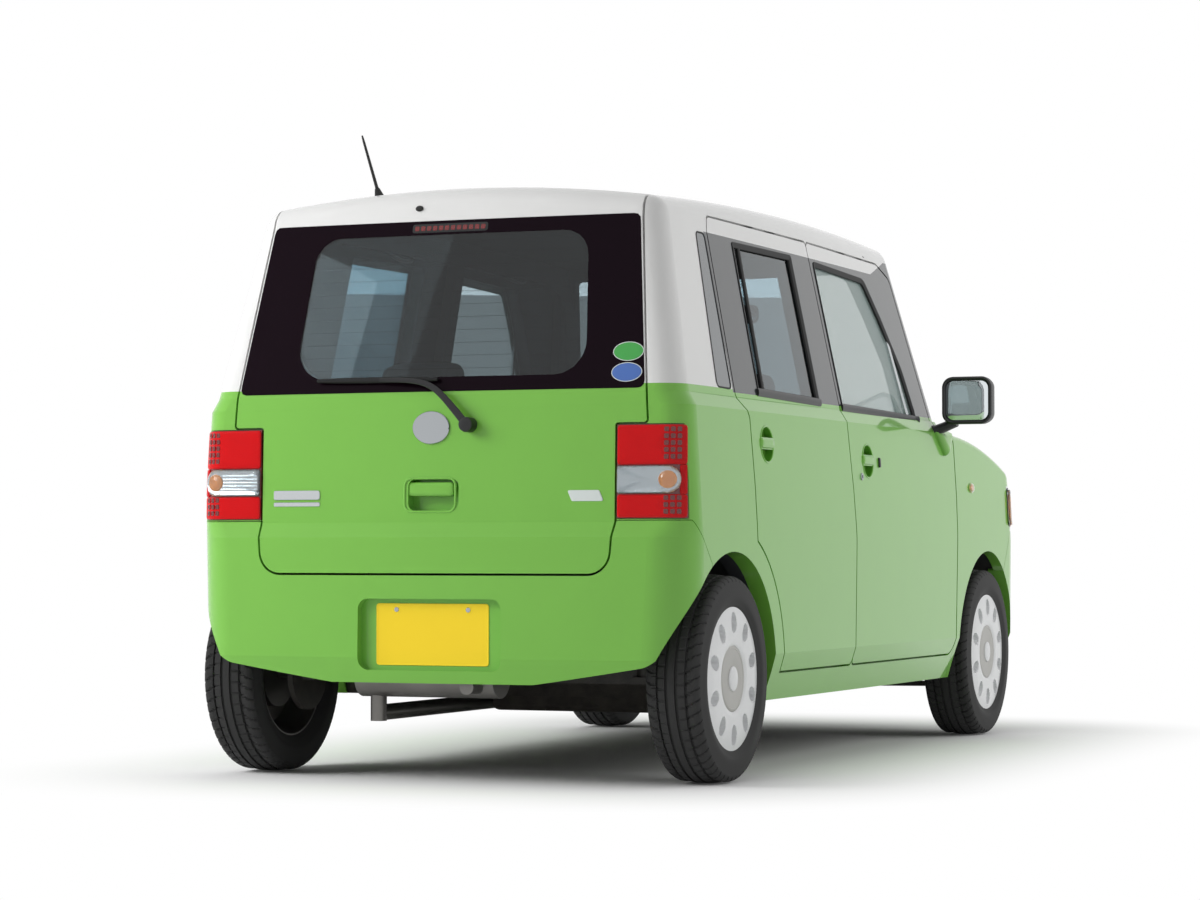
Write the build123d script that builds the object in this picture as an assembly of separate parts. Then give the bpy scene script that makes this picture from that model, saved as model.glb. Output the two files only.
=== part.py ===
from build123d import *
from math import cos, degrees, pi, radians, sin
import os

# A boxy four-door kei car: an assembly of separate body panels, glass, doors, wheels and running gear.
#
# Millimetres. X runs forward, Y to the car's left, Z up.
# The origin is on the ground, midway between the bumpers.
# Every body panel is cut from nested copies of one body form, skin(inset), so neighbours stay flush.

# ---------------------------------------------------------------- driving sizes
LENGTH = 3395.0
WIDTH = 1475.0
ROOF_Z = 1640.0
WHEELBASE = 2490.0
TRACK = 1310.0
TYRE_R, TYRE_W = 278.5, 155.0
WHEEL_Z = TYRE_R
REAR_OVERHANG = 365.0
HALF_W = WIDTH / 2
REAR_X = -LENGTH / 2
FRONT_X = LENGTH / 2
REAR_AXLE_X = REAR_X + REAR_OVERHANG
FRONT_AXLE_X = REAR_AXLE_X + WHEELBASE

SILL_Z = 205.0          # underside of the sills
CREASE_Z = 335.0        # low crease along the doors and bumpers
SHELF_Z = 655.0         # top of the bumper band
SHELF_TOP_Z = 695.0     # where the band has sloped back into the body
SHOULDER_Z = 1000.0     # the side leans in from here to the belt
BELT_Z = 1035.0         # foot of the side windows
BUMPER_FOOT_Z = 268.0

GAP = 6.0               # shut line round every moving panel
SEAM = 2.0              # joint between two fixed panels
FIT = 0.3               # a fixed piece in its seat
RUN = 0.1               # a shaft in its hole

DOOR_T = 55.0           # whole thickness of a side door or the tailgate
INNER_T = 90.0          # outer skin to the cabin lining
ROOF_T = 35.0
FENDER_T = 35.0
BONNET_T = 35.0
BUMPER_T = 55.0
LAMP_T = 55.0
SKIN_LAYER = 15.0       # door edges: a skin layer of this thickness, then a narrower body behind it
GLASS_T = 4.0
BONDED_T = 5.0          # glass bonded into a rebate
DROP_GLASS_IN = 8.0     # a door's glass stands this far inside its skin

# ---------------------------------------------------------------- the body form
# Levels of the lower body:
# z, side inset, rear inset, front inset, rear bow, front bow, rear corner radius, front corner radius
LOWER_LEVELS = [
    (SILL_Z, 47.0, 30.0, 40.0, 26.0, 95.0, 115.0, 190.0),
    (CREASE_Z, 6.0, 0.0, 0.0, 26.0, 105.0, 130.0, 200.0),
    (SHELF_Z, 0.0, 6.0, 8.0, 24.0, 105.0, 120.0, 200.0),
    (SHELF_TOP_Z, 0.5, 32.0, 24.0, 18.0, 100.0, 85.0, 190.0),
    (800.0, 4.0, 34.0, 34.0, 18.0, 98.0, 78.0, 185.0),
    (SHOULDER_Z, 16.0, 39.0, 82.0, 18.0, 90.0, 75.0, 170.0),
    (BELT_Z, 37.0, 41.0, 105.0, 18.0, 85.0, 75.0, 160.0),
]
# Levels of the glasshouse; the windscreen's insets count from the front bumper
GLASS_LEVELS = [
    (BELT_Z - 135.0, 10.0, 11.0, 787.0, 18.0, 157.0, 75.0, 125.0),
    (BELT_Z, 37.0, 41.0, 847.0, 18.0, 150.0, 75.0, 120.0),
    (ROOF_Z + 60.0, 167.0, 195.0, 1142.0, 14.0, 115.0, 62.0, 90.0),
]
SIDE_BOW = 10.0
ROOF_MID_X = REAR_X + 1367.0
ROOF_RX, ROOF_RY = 18000.0, 3900.0
BONNET_TOP_Z, BONNET_MID_X = 1049.0, FRONT_X - 997.0
BONNET_RX, BONNET_RY = 2600.0, 5000.0
ROOF_EDGE_R = 60.0
HEADER_R = 30.0
FENDER_EDGE_R = 20.0
SCREEN_SIDE_X = 640.0


def outline(level, inset):
    """Plan outline of the body at one level: four bowed sides with rounded corners."""
    z, side_in, rear_in, front_in, rear_bow, front_bow, rear_r, front_r = level
    half = HALF_W - side_in - inset
    rear = REAR_X + rear_in + inset
    front = FRONT_X - front_in - inset
    corner_y = half - SIDE_BOW
    rear_c, front_c = rear + rear_bow, front - front_bow
    mid = (rear_c + front_c) / 2
    sides = [
        ThreePointArc((rear_c, -corner_y), (mid, -half), (front_c, -corner_y)),
        ThreePointArc((front_c, -corner_y), (front, 0), (front_c, corner_y)),
        ThreePointArc((front_c, corner_y), (mid, half), (rear_c, corner_y)),
        ThreePointArc((rear_c, corner_y), (rear, 0), (rear_c, -corner_y)),
    ]
    face = Face(Wire(sides))
    by_x = face.vertices().sort_by(Axis.X)
    face = face.fillet_2d(max(rear_r - inset, 8.0), by_x[:2])
    fronts = [v for v in face.vertices() if abs(v.X - front_c) < 1e-3 and abs(abs(v.Y) - corner_y) < 1e-3]
    face = face.fillet_2d(max(front_r - inset, 8.0), fronts)
    return Pos(0, 0, z) * face


def stack(levels, inset):
    return Solid.make_loft([outline(level, inset).outer_wire() for level in levels], ruled=True)


def crown(top_z, mid_x, rx, ry):
    """The space below a surface bowed along X (radius rx) and across Y (radius ry)."""
    half = 900.0
    edge_z = top_z - half * half / (2 * ry)
    arc = ThreePointArc((-half, edge_z), (0, top_z), (half, edge_z))
    walls = Polyline((half, edge_z), (half, 0), (-half, 0), (-half, edge_z))
    profile = Plane.YZ.offset(mid_x) * make_face([arc, walls])
    axis = Axis((mid_x, 0, top_z - rx), (0, 1, 0))
    sweep = degrees(2300.0 / rx)
    return revolve(profile, axis, revolution_arc=sweep) + revolve(profile, axis, revolution_arc=-sweep)


def block(x0, x1, y0, y1, z0, z1):
    return Pos((x0 + x1) / 2, (y0 + y1) / 2, (z0 + z1) / 2) * Box(x1 - x0, y1 - y0, z1 - z0)


def one(shape):
    """The largest solid of a result, or the result if it is already one."""
    return max(shape.solids(), key=lambda s: s.volume)


_skins = {}


def skin(inset):
    """The body form shrunk all round by inset: lower body, bonnet line and glasshouse in one solid."""
    if inset in _skins:
        return _skins[inset]
    glasshouse = stack(GLASS_LEVELS[1:], inset) & crown(ROOF_Z - inset, ROOF_MID_X, ROOF_RX, ROOF_RY)
    if inset < HEADER_R:
        tops = [e for e in glasshouse.edges() if e.center().Z > ROOF_Z - 140]
        glasshouse = one(glasshouse).fillet(ROOF_EDGE_R - inset, tops)
    screen_foot = stack(GLASS_LEVELS[:2], inset) + stack(GLASS_LEVELS[1:], inset)
    above_bonnet = block(SCREEN_SIDE_X, FRONT_X + 50, -900, 900, 500, BELT_Z + 20)
    above_bonnet = above_bonnet - crown(BONNET_TOP_Z - inset, BONNET_MID_X, BONNET_RX,
                                        BONNET_RY) - screen_foot
    lower = one(stack(LOWER_LEVELS, inset) - above_bonnet)
    if inset <= BONDED_T:
        rims = [e for e in lower.edges() if on_bonnet_rim(e @ 0.5, inset)]
        lower = lower.fillet(FENDER_EDGE_R - inset, rims)
    _skins[inset] = one(lower + glasshouse)
    return _skins[inset]


def on_bonnet_rim(point, inset):
    """True where the bonnet's surface meets the side of the body."""
    along = (point.X - BONNET_MID_X) ** 2 / (2 * BONNET_RX)
    across = point.Y ** 2 / (2 * BONNET_RY)
    above = point.Z - (BONNET_TOP_Z - inset - along - across)
    return abs(above) < 2.0 and abs(point.Y) > HALF_W - 32.5 - inset and point.X > BONNET_MID_X


def layer(prism, outer, inner):
    """The part of a prism that lies between two depths below the skin."""
    return (skin(outer) & prism) - skin(inner)


# ---------------------------------------------------------------- outlines
def polygon(points, radius=0.0):
    """A closed face in its own plane. One radius for every corner, or one for each."""
    if radius:
        return make_face(FilletPolyline(*points, radius=radius, close=True))
    return make_face(Polyline(*points, close=True))


def grown(face, by):
    return offset(face, by, kind=Kind.INTERSECTION) if by else face


def across(face, y0, y1):
    """A side-view outline (x, z) made solid from y0 to y1."""
    return Pos(0, y1, 0) * (Plane.XZ * extrude(face, y1 - y0))


def along(face, x0, x1):
    """A rear-view outline (y, z) made solid from x0 to x1."""
    return Plane.YZ.offset(x0) * extrude(face, x1 - x0)


def upward(face, z0, z1):
    return Pos(0, 0, z0) * extrude(face, z1 - z0)


def axle(x, y0, y1, z, r0, r1=None):
    """A cylinder, or cone from r0 at y0 to r1 at y1, lying along Y."""
    length = y1 - y0
    body = Cylinder(r0, length) if r1 is None else Cone(r0, r1, length)
    return Pos(x, (y0 + y1) / 2, z) * Rot(-90, 0, 0) * body


def mirrored(shape):
    return mirror(shape, about=Plane.XZ)


def sided(shape, side):
    """Shapes are drawn on the left (+Y). side is 1 for left, -1 for right."""
    return shape if side > 0 else mirrored(shape)


def write(shape, name):
    solids = [s for s in shape.solids() if s.volume > 200.0]
    whole = solids[0] if len(solids) == 1 else Compound(solids)
    whole.label = name
    export_step(whole, f"parts/{name}.step")


# ---------------------------------------------------------------- shut lines, seen from the side (x, z)
SILL_TOP_Z = 285.0
ARCH_R, ARCH_Z = 345.0, 272.0
DOOR_ARCH_R = 418.0
DOOR_TOP_Z = 1530.0
PILLAR_LINE = [(REAR_AXLE_X + 1047.5, SILL_TOP_Z), (REAR_AXLE_X + 1042.5, SHELF_Z),
               (REAR_AXLE_X + 997.5, SHOULDER_Z),
               (REAR_AXLE_X + 962.5, DOOR_TOP_Z)]     # shut line between the doors
FRONT_SHUT_X = FRONT_AXLE_X - 382.5
REAR_SHUT_X = REAR_AXLE_X + 122.5
REAR_HINGE_X = PILLAR_LINE[0][0] - GAP - 2.0
FRONT_DOOR = [
    (FRONT_SHUT_X, SILL_TOP_Z),
    (FRONT_SHUT_X, 978.0),
    (612.0, 1012.0),
    (447.0, 1482.0),
    (330.0, DOOR_TOP_Z - 8),
    *reversed(PILLAR_LINE),
]
FRONT_DOOR_R = [45.0, 25.0, 12.0, 40.0, 90.0, 15.0, 200.0, 300.0, 20.0]
REAR_DOOR = [
    (REAR_AXLE_X + 257.5, SILL_TOP_Z),
    *[(x - GAP, z) for x, z in PILLAR_LINE],
    (REAR_SHUT_X + 20, DOOR_TOP_Z),
    (REAR_SHUT_X, 1490.0),
    (REAR_SHUT_X - 15, 1040.0),
    (REAR_SHUT_X + 38, 985.0),
    (REAR_SHUT_X + 60, 650.0),
]
REAR_DOOR_R = [8.0, 15.0, 300.0, 200.0, 15.0, 18.0, 30.0, 25.0, 40.0, 60.0]
FRONT_WINDOW = [(-313.0, 1042.0), (452.0, 1034.0), (388.0, 1190.0), (262.0, 1345.0), (150.0, 1462.0),
                (-336.0, 1477.0)]
FRONT_WINDOW_R = [10.0, 20.0, 160.0, 150.0, 60.0, 12.0]
REAR_WINDOW = [(-1040.0, 1055.0), (-525.0, 1048.0), (-540.0, 1478.0), (-1030.0, 1475.0)]
QUARTER_WINDOW = [(-1358.0, 1057.0), (-1250.0, 1055.0), (-1236.0, 1482.0), (-1300.0, 1482.0)]
STEP_IN = 14.0
RING_STEP = 30.0        # the aperture inside the shut line


def stepped(outline_of, prism, thickness):
    """A door or lid with a stepped edge, between the skin and thickness. outline_of(grow) is its outline."""
    blank = (skin(0) & prism(outline_of(0))) - skin(thickness)
    rim = (prism(outline_of(1)) - prism(outline_of(-STEP_IN))) & skin(SKIN_LAYER)
    return blank - rim


def stepped_hole(outline_of, prism, thickness, aperture=RING_STEP):
    """What the body loses so that such a door fits it with GAP all round, plus the aperture behind it."""
    outer = prism(outline_of(GAP)) - skin(SKIN_LAYER + GAP)
    inner = prism(outline_of(GAP - STEP_IN)) - skin(thickness + GAP)
    return [outer, inner, prism(outline_of(-aperture))]


def left_prism(face):
    return across(face, 300.0, 900.0)


def arch(x, radius, y0=300.0, y1=900.0):
    return axle(x, y0, y1, ARCH_Z, radius)


# ---------------------------------------------------------------- side doors
HANDLE_CUP = (50.0, 21.0)             # radius, depth
HANDLE_H = 28.0
FRONT_HANDLE = (-160.0, 888.0)
REAR_HANDLE = (-1051.0, 912.0)

front_door_face = polygon(FRONT_DOOR, FRONT_DOOR_R)
rear_door_face = polygon(REAR_DOOR, REAR_DOOR_R)
front_window = polygon(FRONT_WINDOW, FRONT_WINDOW_R)
rear_window = polygon(REAR_WINDOW, 18.0)
quarter_window = polygon(QUARTER_WINDOW, 16.0)


def front_door_outline(grow):
    return grown(front_door_face, grow)


def rear_door_outline(grow):
    return grown(rear_door_face, grow) - Pos(REAR_AXLE_X, ARCH_Z) * Circle(DOOR_ARCH_R - grow)


HINGE_Z = (430.0, 850.0)
HINGE_H = 60.0
HINGE_REACH = 90.0
COWL_ROOM = 20.0


def hinge_leaves(outline_of, front_x):
    """Two leaves on a door's leading edge that reach to the pillar's face."""
    reach = left_prism(outline_of(GAP - STEP_IN - FIT))
    for z in HINGE_Z:
        band = block(front_x - HINGE_REACH, front_x, 300, 900, z - HINGE_H / 2, z + HINGE_H / 2)
        yield layer(reach & band, SKIN_LAYER + GAP, DOOR_T)


def under_cowl():
    """Room for the scuttle below the windscreen, which a door's top corner keeps clear of as it swings."""
    inner_y = HALF_W - DOOR_T - COWL_ROOM
    room = block(SCREEN_SIDE_X - 60, FRONT_SHUT_X + GAP, 300, inner_y, SHOULDER_Z - 100, SHOULDER_Z)
    return room + block(SCREEN_SIDE_X - 15, SCREEN_SIDE_X + 25, 300, inner_y + 40, SHOULDER_Z - 15,
                        SHOULDER_Z + 15)


def side_door(outline_of, window, handle, front_x):
    """A door with its window opening, hinge leaves, a finger cup and a pull bar across the cup."""
    radius, depth = HANDLE_CUP
    cup = left_prism(Pos(*handle) * Circle(radius)) - skin(depth)
    bar = left_prism(Pos(*handle) * Rectangle(2 * radius + 2, HANDLE_H))
    panel = stepped(outline_of, left_prism, DOOR_T) - [left_prism(window), cup - bar, under_cowl()]
    return one(panel + list(hinge_leaves(outline_of, front_x)))


def door_glass(window):
    return layer(left_prism(grown(window, -FIT)), DROP_GLASS_IN, DROP_GLASS_IN + GLASS_T)


# ---------------------------------------------------------------- tailgate, seen from behind (y, z)
GATE_BOTTOM_Z, GATE_STEP_Z, HEADER_Z = 560.0, 954.0, 1490.0
GATE_EDGE_X = REAR_X + 207.5          # shut line across the roof
GATE_HALF = [(506.0, GATE_BOTTOM_Z), (517.0, 700.0), (517.0, GATE_STEP_Z), (604.0, GATE_STEP_Z),
             (599.0, BELT_Z),
             (547.0, 1500.0), (536.0, ROOF_Z + 40)]
GATE_HALF_R = [60.0, 80.0, 8.0, 8.0, 60.0, 60.0, 5.0]
REAR_GLASS_HALF = [(588.0, 1046.0), (533.0, 1508.0)]
REAR_VIEW_HALF = [(452.0, 1080.0), (420.0, 1480.0)]
GATE_HINGE_Y = 340.0
GATE_LEAF = 28.0
GATE_HANDLE = (0.0, 768.0, 148.0, 84.0)


def both_halves(points):
    """A symmetric outline from the points of its +Y half, listed upwards."""
    return points + [(-y, z) for y, z in reversed(points)]


gate_face = polygon(both_halves(GATE_HALF), GATE_HALF_R + GATE_HALF_R[::-1])
rear_glass_face = polygon(both_halves(REAR_GLASS_HALF), [45.0, 30.0, 30.0, 45.0])
rear_view_face = polygon(both_halves(REAR_VIEW_HALF), [110.0, 70.0, 70.0, 110.0])


def gate_prism(grow):
    """Everything behind the shut line across the roof and inside the rear-view outline."""
    return along(grown(gate_face, grow), REAR_X - 60, GATE_EDGE_X + grow)


def tailgate():
    blank = (skin(0) & gate_prism(0)) - skin(DOOR_T)
    rim = (gate_prism(1) - gate_prism(-STEP_IN)) & skin(SKIN_LAYER)
    y, z, width, height = GATE_HANDLE
    cup = along(Pos(y, z) * RectangleRounded(width, height, 20), REAR_X - 60, REAR_X + 200) - skin(ROOF_T)
    glass_seat = along(grown(rear_glass_face, SEAM / 2), REAR_X - 60, GATE_EDGE_X) - skin(BONDED_T)
    tip = GATE_EDGE_X + GAP - FIT
    leaves = [layer(block(tip - GATE_LEAF, tip, y - 40, y + 40, HEADER_Z, 1800), SKIN_LAYER + GAP, ROOF_T)
              for y in (-GATE_HINGE_Y, GATE_HINGE_Y)]
    return one(blank - [rim, glass_seat, along(rear_view_face, REAR_X - 60, GATE_EDGE_X), cup] + leaves)


def gate_hole():
    outer = gate_prism(GAP) - skin(SKIN_LAYER + GAP)
    inner = gate_prism(GAP - STEP_IN) - skin(DOOR_T + GAP)
    aperture = along(grown(gate_face, -RING_STEP), REAR_X - 60, GATE_EDGE_X - RING_STEP)
    above_header = block(REAR_X - 60, 0, -800, 800, HEADER_Z, ROOF_Z + 160)
    below_header = along(grown(gate_face, -RING_STEP), REAR_X - 60, REAR_X + 330) - above_header
    return [outer, inner, aperture, below_header]


def tailgate_glass():
    return one(layer(along(rear_glass_face, REAR_X - 60, GATE_EDGE_X), 0, BONDED_T))


# ---------------------------------------------------------------- windscreen, seen from the front (y, z)
SCREEN_HALF = [(612.0, 1002.0), (530.0, 1545.0)]
SCREEN_REBATE = 28.0
screen_face = polygon(both_halves(SCREEN_HALF), [60.0, 45.0, 45.0, 60.0])
SCREEN_FROM_X = 330.0


screen_zone = stack(GLASS_LEVELS, 0.0)      # everything behind the windscreen's surface, down into the cowl

# ---------------------------------------------------------------- lamps, bonnet, bumpers
TAIL_LAMP_Z = (704.0, 948.0)
TAIL_LAMP_Y = 523.0
TAIL_LAMP_SIDE_X = REAR_X + 78.0
HEADLAMP_Z = (694.0, 838.0)
HEADLAMP_Y = 392.0
HEADLAMP_SIDE = [(FRONT_X + 60, 690.0), (FRONT_X + 60, 838.0), (1415.0, 838.0), (1450.0, 690.0)]
BONNET_HALF_Y = 590.0
BONNET_SHUT_Z = 846.0
BONNET_REAR_X, BONNET_REAR_BOW = 924.0, 56.0
BONNET_HINGE_Y = 470.0
COWL_REAR_X = 700.0
LOWER_GRILLE = (840.0, 130.0, 365.0)  # width, height, centre height
BUMPER_TOP_Z = 688.0
REAR_BUMPER_LINE = [(REAR_X - 60, 100.0), (REAR_X - 60, BUMPER_TOP_Z + 12), (REAR_X + 88, BUMPER_TOP_Z + 12),
                    (REAR_AXLE_X - 160, 585.0), (REAR_AXLE_X - 160, 100.0)]
FRONT_BUMPER_LINE = [(FRONT_X + 60, 100.0), (FRONT_X + 60, BUMPER_TOP_Z), (FRONT_AXLE_X + 290, BUMPER_TOP_Z),
                     (FRONT_AXLE_X + 205, 552.0), (FRONT_AXLE_X + 205, 100.0)]


def lamp_zone_rear(grow):
    z0, z1 = TAIL_LAMP_Z
    return block(REAR_X - 60, TAIL_LAMP_SIDE_X + grow, TAIL_LAMP_Y - grow, 800, z0 - grow, z1 + grow)


def lamp_zone_front(grow):
    z0, z1 = HEADLAMP_Z
    side_view = across(grown(polygon(HEADLAMP_SIDE), grow), HEADLAMP_Y - grow, 800)
    return side_view & block(FRONT_X - 400, FRONT_X + 60, 0, 800, z0 - grow, z1 + grow)


def bonnet_zone(grow):
    half, rear = BONNET_HALF_Y + grow, BONNET_REAR_X - grow
    rear_arc = ThreePointArc((rear - BONNET_REAR_BOW, -half), (rear, 0), (rear - BONNET_REAR_BOW, half))
    rest = Polyline((rear - BONNET_REAR_BOW, half), (FRONT_X + 60, half), (FRONT_X + 60, -half),
                    (rear - BONNET_REAR_BOW, -half))
    return upward(make_face([rear_arc, rest]), BONNET_SHUT_Z - grow, ROOF_Z)


PLATE_RECESS = (418.0, 190.0, 397.0, 30.0)     # width, height, centre height, depth
PLATE = (330.0, 165.0, 2.0)
FRONT_PLATE_Z = 535.0
FRONT_PLATE_X = FRONT_X - 18.0
ROOF_HALF_Y = 522.0
FLAP = (REAR_AXLE_X - 88.0, 822.0, 165.0, 160.0)
FLAP_T = 12.0
FLAP_POCKET_T = DOOR_T + GAP
BEHIND = DOOR_T + GAP                          # depth of the body behind the doors and the tailgate


def plate_recess():
    width, height, z, depth = PLATE_RECESS
    return along(Pos(0, z) * RectangleRounded(width, height, 28), REAR_X - 60, REAR_X + depth)


def flap_face(grow):
    x, z, width, height = FLAP
    return Pos(x, z) * RectangleRounded(width + 2 * grow, height + 2 * grow, 20)


def roof_zone(grow):
    half = ROOF_HALF_Y + grow
    return block(REAR_X - 60, FRONT_X, -half, half, ROOF_Z - 230 - grow, 1800)


def body_side():
    """Sill, pillars, cant rail and rear quarter on the left, as thick as a whole wall."""
    zone = block(REAR_X - 60, FRONT_SHUT_X + GAP, 0, 800, 0, ROOF_Z + 60)
    shell = one((skin(0) & zone) - skin(INNER_T) - roof_zone(FIT))
    cuts = [
        block(REAR_X - 60, REAR_X + 200, -1, 500, 0, GATE_BOTTOM_Z + 60),
        block(COWL_REAR_X, FRONT_X, -1, BONNET_HALF_Y + GAP, SHOULDER_Z - 150, BELT_Z + 15),
        *stepped_hole(front_door_outline, left_prism, DOOR_T),
        *stepped_hole(rear_door_outline, left_prism, DOOR_T),
        *gate_hole(),
        screen_rebate(),
        screen_aperture(),
        arch(REAR_AXLE_X, ARCH_R),
        across(polygon(REAR_BUMPER_LINE), 0, 800) - skin(BUMPER_T),
        lamp_zone_rear(SEAM) - skin(LAMP_T),
        left_prism(quarter_window) - skin(BONDED_T),
        left_prism(grown(quarter_window, -STEP_IN)),
    ]
    for cut in cuts:
        shell = shell - cut
    return one(shell)


def fuel_pocket(shell):
    """The left quarter, with the filler's pocket and cap behind the flap."""
    pocket = left_prism(flap_face(GAP)) - skin(FLAP_POCKET_T)
    cap = layer(left_prism(Pos(FLAP[0] - 8, FLAP[1] - 8) * Circle(36)), ROOF_T, INNER_T)
    return one(shell - pocket + cap)


def roof():
    blank = layer(roof_zone(0), 0, ROOF_T)
    behind_edge = block(REAR_X - 60, GATE_EDGE_X + GAP, -900, 900, 0, ROOF_Z - 60)
    return one(blank - [*gate_hole(), behind_edge, screen_rebate(), screen_aperture()])


def screen_rebate():
    return along(grown(screen_face, SEAM / 2), SCREEN_FROM_X, FRONT_X) & (screen_zone - skin(BONDED_T))


def screen_aperture():
    return along(grown(screen_face, -SCREEN_REBATE), SCREEN_FROM_X, FRONT_X)


def windscreen():
    return one(layer(along(screen_face, SCREEN_FROM_X, FRONT_X) & screen_zone, 0, BONDED_T))


def quarter_glasses():
    left = layer(left_prism(grown(quarter_window, -FIT)), 0, BONDED_T)
    return left + mirrored(left)


def front_fender():
    """Wing panel between the front door, the bonnet and the bumper."""
    zone = block(FRONT_SHUT_X + GAP + SEAM, FRONT_X, 0, 800, 0, ROOF_Z)
    cuts = [
        skin(FENDER_T),
        bonnet_zone(GAP),
        block(FRONT_X - 1500, FRONT_X, -1, BONNET_HALF_Y + GAP, 0, ROOF_Z),
        arch(FRONT_AXLE_X, ARCH_R),
        across(grown(polygon(FRONT_BUMPER_LINE), SEAM), 0, 800),
        lamp_zone_front(SEAM),
        block(FRONT_SHUT_X, BONNET_REAR_X, 0, BONNET_HALF_Y + GAP, SHOULDER_Z - 80, ROOF_Z),
    ]
    return one((skin(0) & zone) - cuts)


def bonnet():
    """The lid, with two hinge leaves that reach back to the cowl."""
    panel = layer(bonnet_zone(0), 0, BONNET_T)
    near_cowl = bonnet_zone(GAP - FIT)
    leaves = [
        layer(block(COWL_REAR_X, BONNET_REAR_X - 20, y - 18, y + 18, SHOULDER_Z - 120, ROOF_Z) & near_cowl,
              BONDED_T, BONNET_T)
        for y in (-BONNET_HINGE_Y, BONNET_HINGE_Y)
    ]
    return one(panel + leaves)


def cowl():
    """The panel at the foot of the windscreen, ahead of which the bonnet opens."""
    zone = block(COWL_REAR_X, BONNET_REAR_X, -BONNET_HALF_Y, BONNET_HALF_Y, SHOULDER_Z - 120, ROOF_Z)
    return one(((skin(0) & zone) - skin(ROOF_T)) - [bonnet_zone(GAP), screen_zone])


def rear_bumper():
    zone = across(grown(polygon(REAR_BUMPER_LINE), -SEAM), -800, 800)
    gate = along(grown(gate_face, GAP), REAR_X - 60, REAR_X + 300)
    cuts = [
        skin(BUMPER_T),
        gate,
        block(REAR_X - 100, 0, -900, 900, 0, BUMPER_FOOT_Z),
        axle(REAR_AXLE_X, -900, 900, ARCH_Z, ARCH_R),
        plate_recess(),
        lamp_zone_rear(SEAM),
        mirrored(lamp_zone_rear(SEAM)),
    ]
    shell = one((skin(0) & zone) - cuts)
    width, height, z, depth = PLATE_RECESS
    tray = along(Pos(0, z) * RectangleRounded(width + 16, height + 16, 32), REAR_X + depth, REAR_X + depth
                 + 8)
    rim = along(Pos(0, z) * RectangleRounded(width + 16, height + 16, 32), REAR_X + 16, REAR_X + depth + 8)
    rim -= along(Pos(0, z) * RectangleRounded(width, height, 28), REAR_X - 60, REAR_X + depth)
    return one(shell + tray + (rim & skin(SKIN_LAYER)))


def lower_mouth(grow):
    width, height, z = LOWER_GRILLE
    return along(Pos(0, z) * RectangleRounded(width + 2 * grow, height + 2 * grow, 40 + grow),
                 FRONT_X - 400, FRONT_X + 60)


def front_bumper():
    zone = across(polygon(FRONT_BUMPER_LINE), -800, 800)
    cuts = [
        skin(BUMPER_T),
        block(0, FRONT_X + 60, -900, 900, 0, BUMPER_FOOT_Z - 18),
        axle(FRONT_AXLE_X, -900, 900, ARCH_Z, ARCH_R),
        along(Pos(0, FRONT_PLATE_Z) * RectangleRounded(PLATE[0] + 8, PLATE[1] + 8, 8), FRONT_PLATE_X,
              FRONT_X + 60),
        lower_mouth(0),
        lamp_zone_front(SEAM),
        mirrored(lamp_zone_front(SEAM)),
    ]
    return one((skin(0) & zone) - cuts)


def slats(half_width, z0, z1, count, depth0, depth1):
    """A frame with evenly spaced cross bars, following the nose."""
    pitch = (z1 - z0) / count
    bar = pitch * 0.36
    x0, x1 = FRONT_X - 260, FRONT_X + 60
    frame = layer(block(x0, x1, -half_width, half_width, z0, z1), depth0, depth1)
    holes = [
        block(x0 - 9, x1 + 9, -half_width + 14, half_width - 14, z0 + i * pitch + bar / 2,
              z0 + (i + 1) * pitch - bar / 2)
        for i in range(count)
    ]
    return one(frame - holes)


def front_grille():
    width, height, z = LOWER_GRILLE
    upper = slats(HEADLAMP_Y - SEAM, BUMPER_TOP_Z + SEAM, BONNET_SHUT_Z - GAP, 4, BONDED_T, BUMPER_T)
    lower = slats(width / 2 - FIT, z - height / 2 + FIT, z + height / 2 - FIT, 4, SKIN_LAYER, BUMPER_T)
    return upper + one(lower & lower_mouth(-FIT))


def headlamps():
    left = layer(lamp_zone_front(0), 0, LAMP_T)
    return left + mirrored(left)


def tail_lamps():
    """Lamps with a boss on the inner face that seats on the quarter."""
    x, z = TAIL_LAMP_SIDE_X, sum(TAIL_LAMP_Z) / 2
    boss = block(x - SEAM, x + SEAM - FIT, TAIL_LAMP_Y + 40, TAIL_LAMP_Y + 120, z - 40, z + 40)
    left = one(layer(lamp_zone_rear(0), 0, LAMP_T) + boss)
    return left + mirrored(left)


def fuel_flap():
    x, z, width, _ = FLAP
    tip = x + width / 2 + GAP - FIT
    leaf = layer(block(tip - 12, tip, 300, 900, z - 20, z + 20), BONDED_T, FLAP_T)
    return one(layer(left_prism(flap_face(0)), 0, FLAP_T) + leaf)


# ---------------------------------------------------------------- platform
FLOOR_T = 35.0
REAR_FLOOR_Z = 430.0
AXLE_ARM_Y = (500.0, 544.0)
RADIATOR_HALF_Y = 330.0
LOAD_BOARD_T = 12.0
RISER_X = REAR_AXLE_X + 400.0
FIREWALL_X = FRONT_SHUT_X + 25.0
WHEELHOUSE_R = ARCH_R + 7.0
WHEELHOUSE_T = 14.0
REAR_HOUSE_Y = 492.0
FRONT_HOUSE_Y = 396.0
TOWER_TOP_Z = 742.0
REAR_PANEL_Z = GATE_BOTTOM_Z - 12.0


def rear_wheelhouse(side):
    inner_face = axle(REAR_AXLE_X, REAR_HOUSE_Y, 700, ARCH_Z, WHEELHOUSE_R + WHEELHOUSE_T)
    hollow = axle(REAR_AXLE_X, REAR_HOUSE_Y + WHEELHOUSE_T, 720, ARCH_Z, WHEELHOUSE_R)
    return sided(inner_face - hollow, side)


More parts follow.
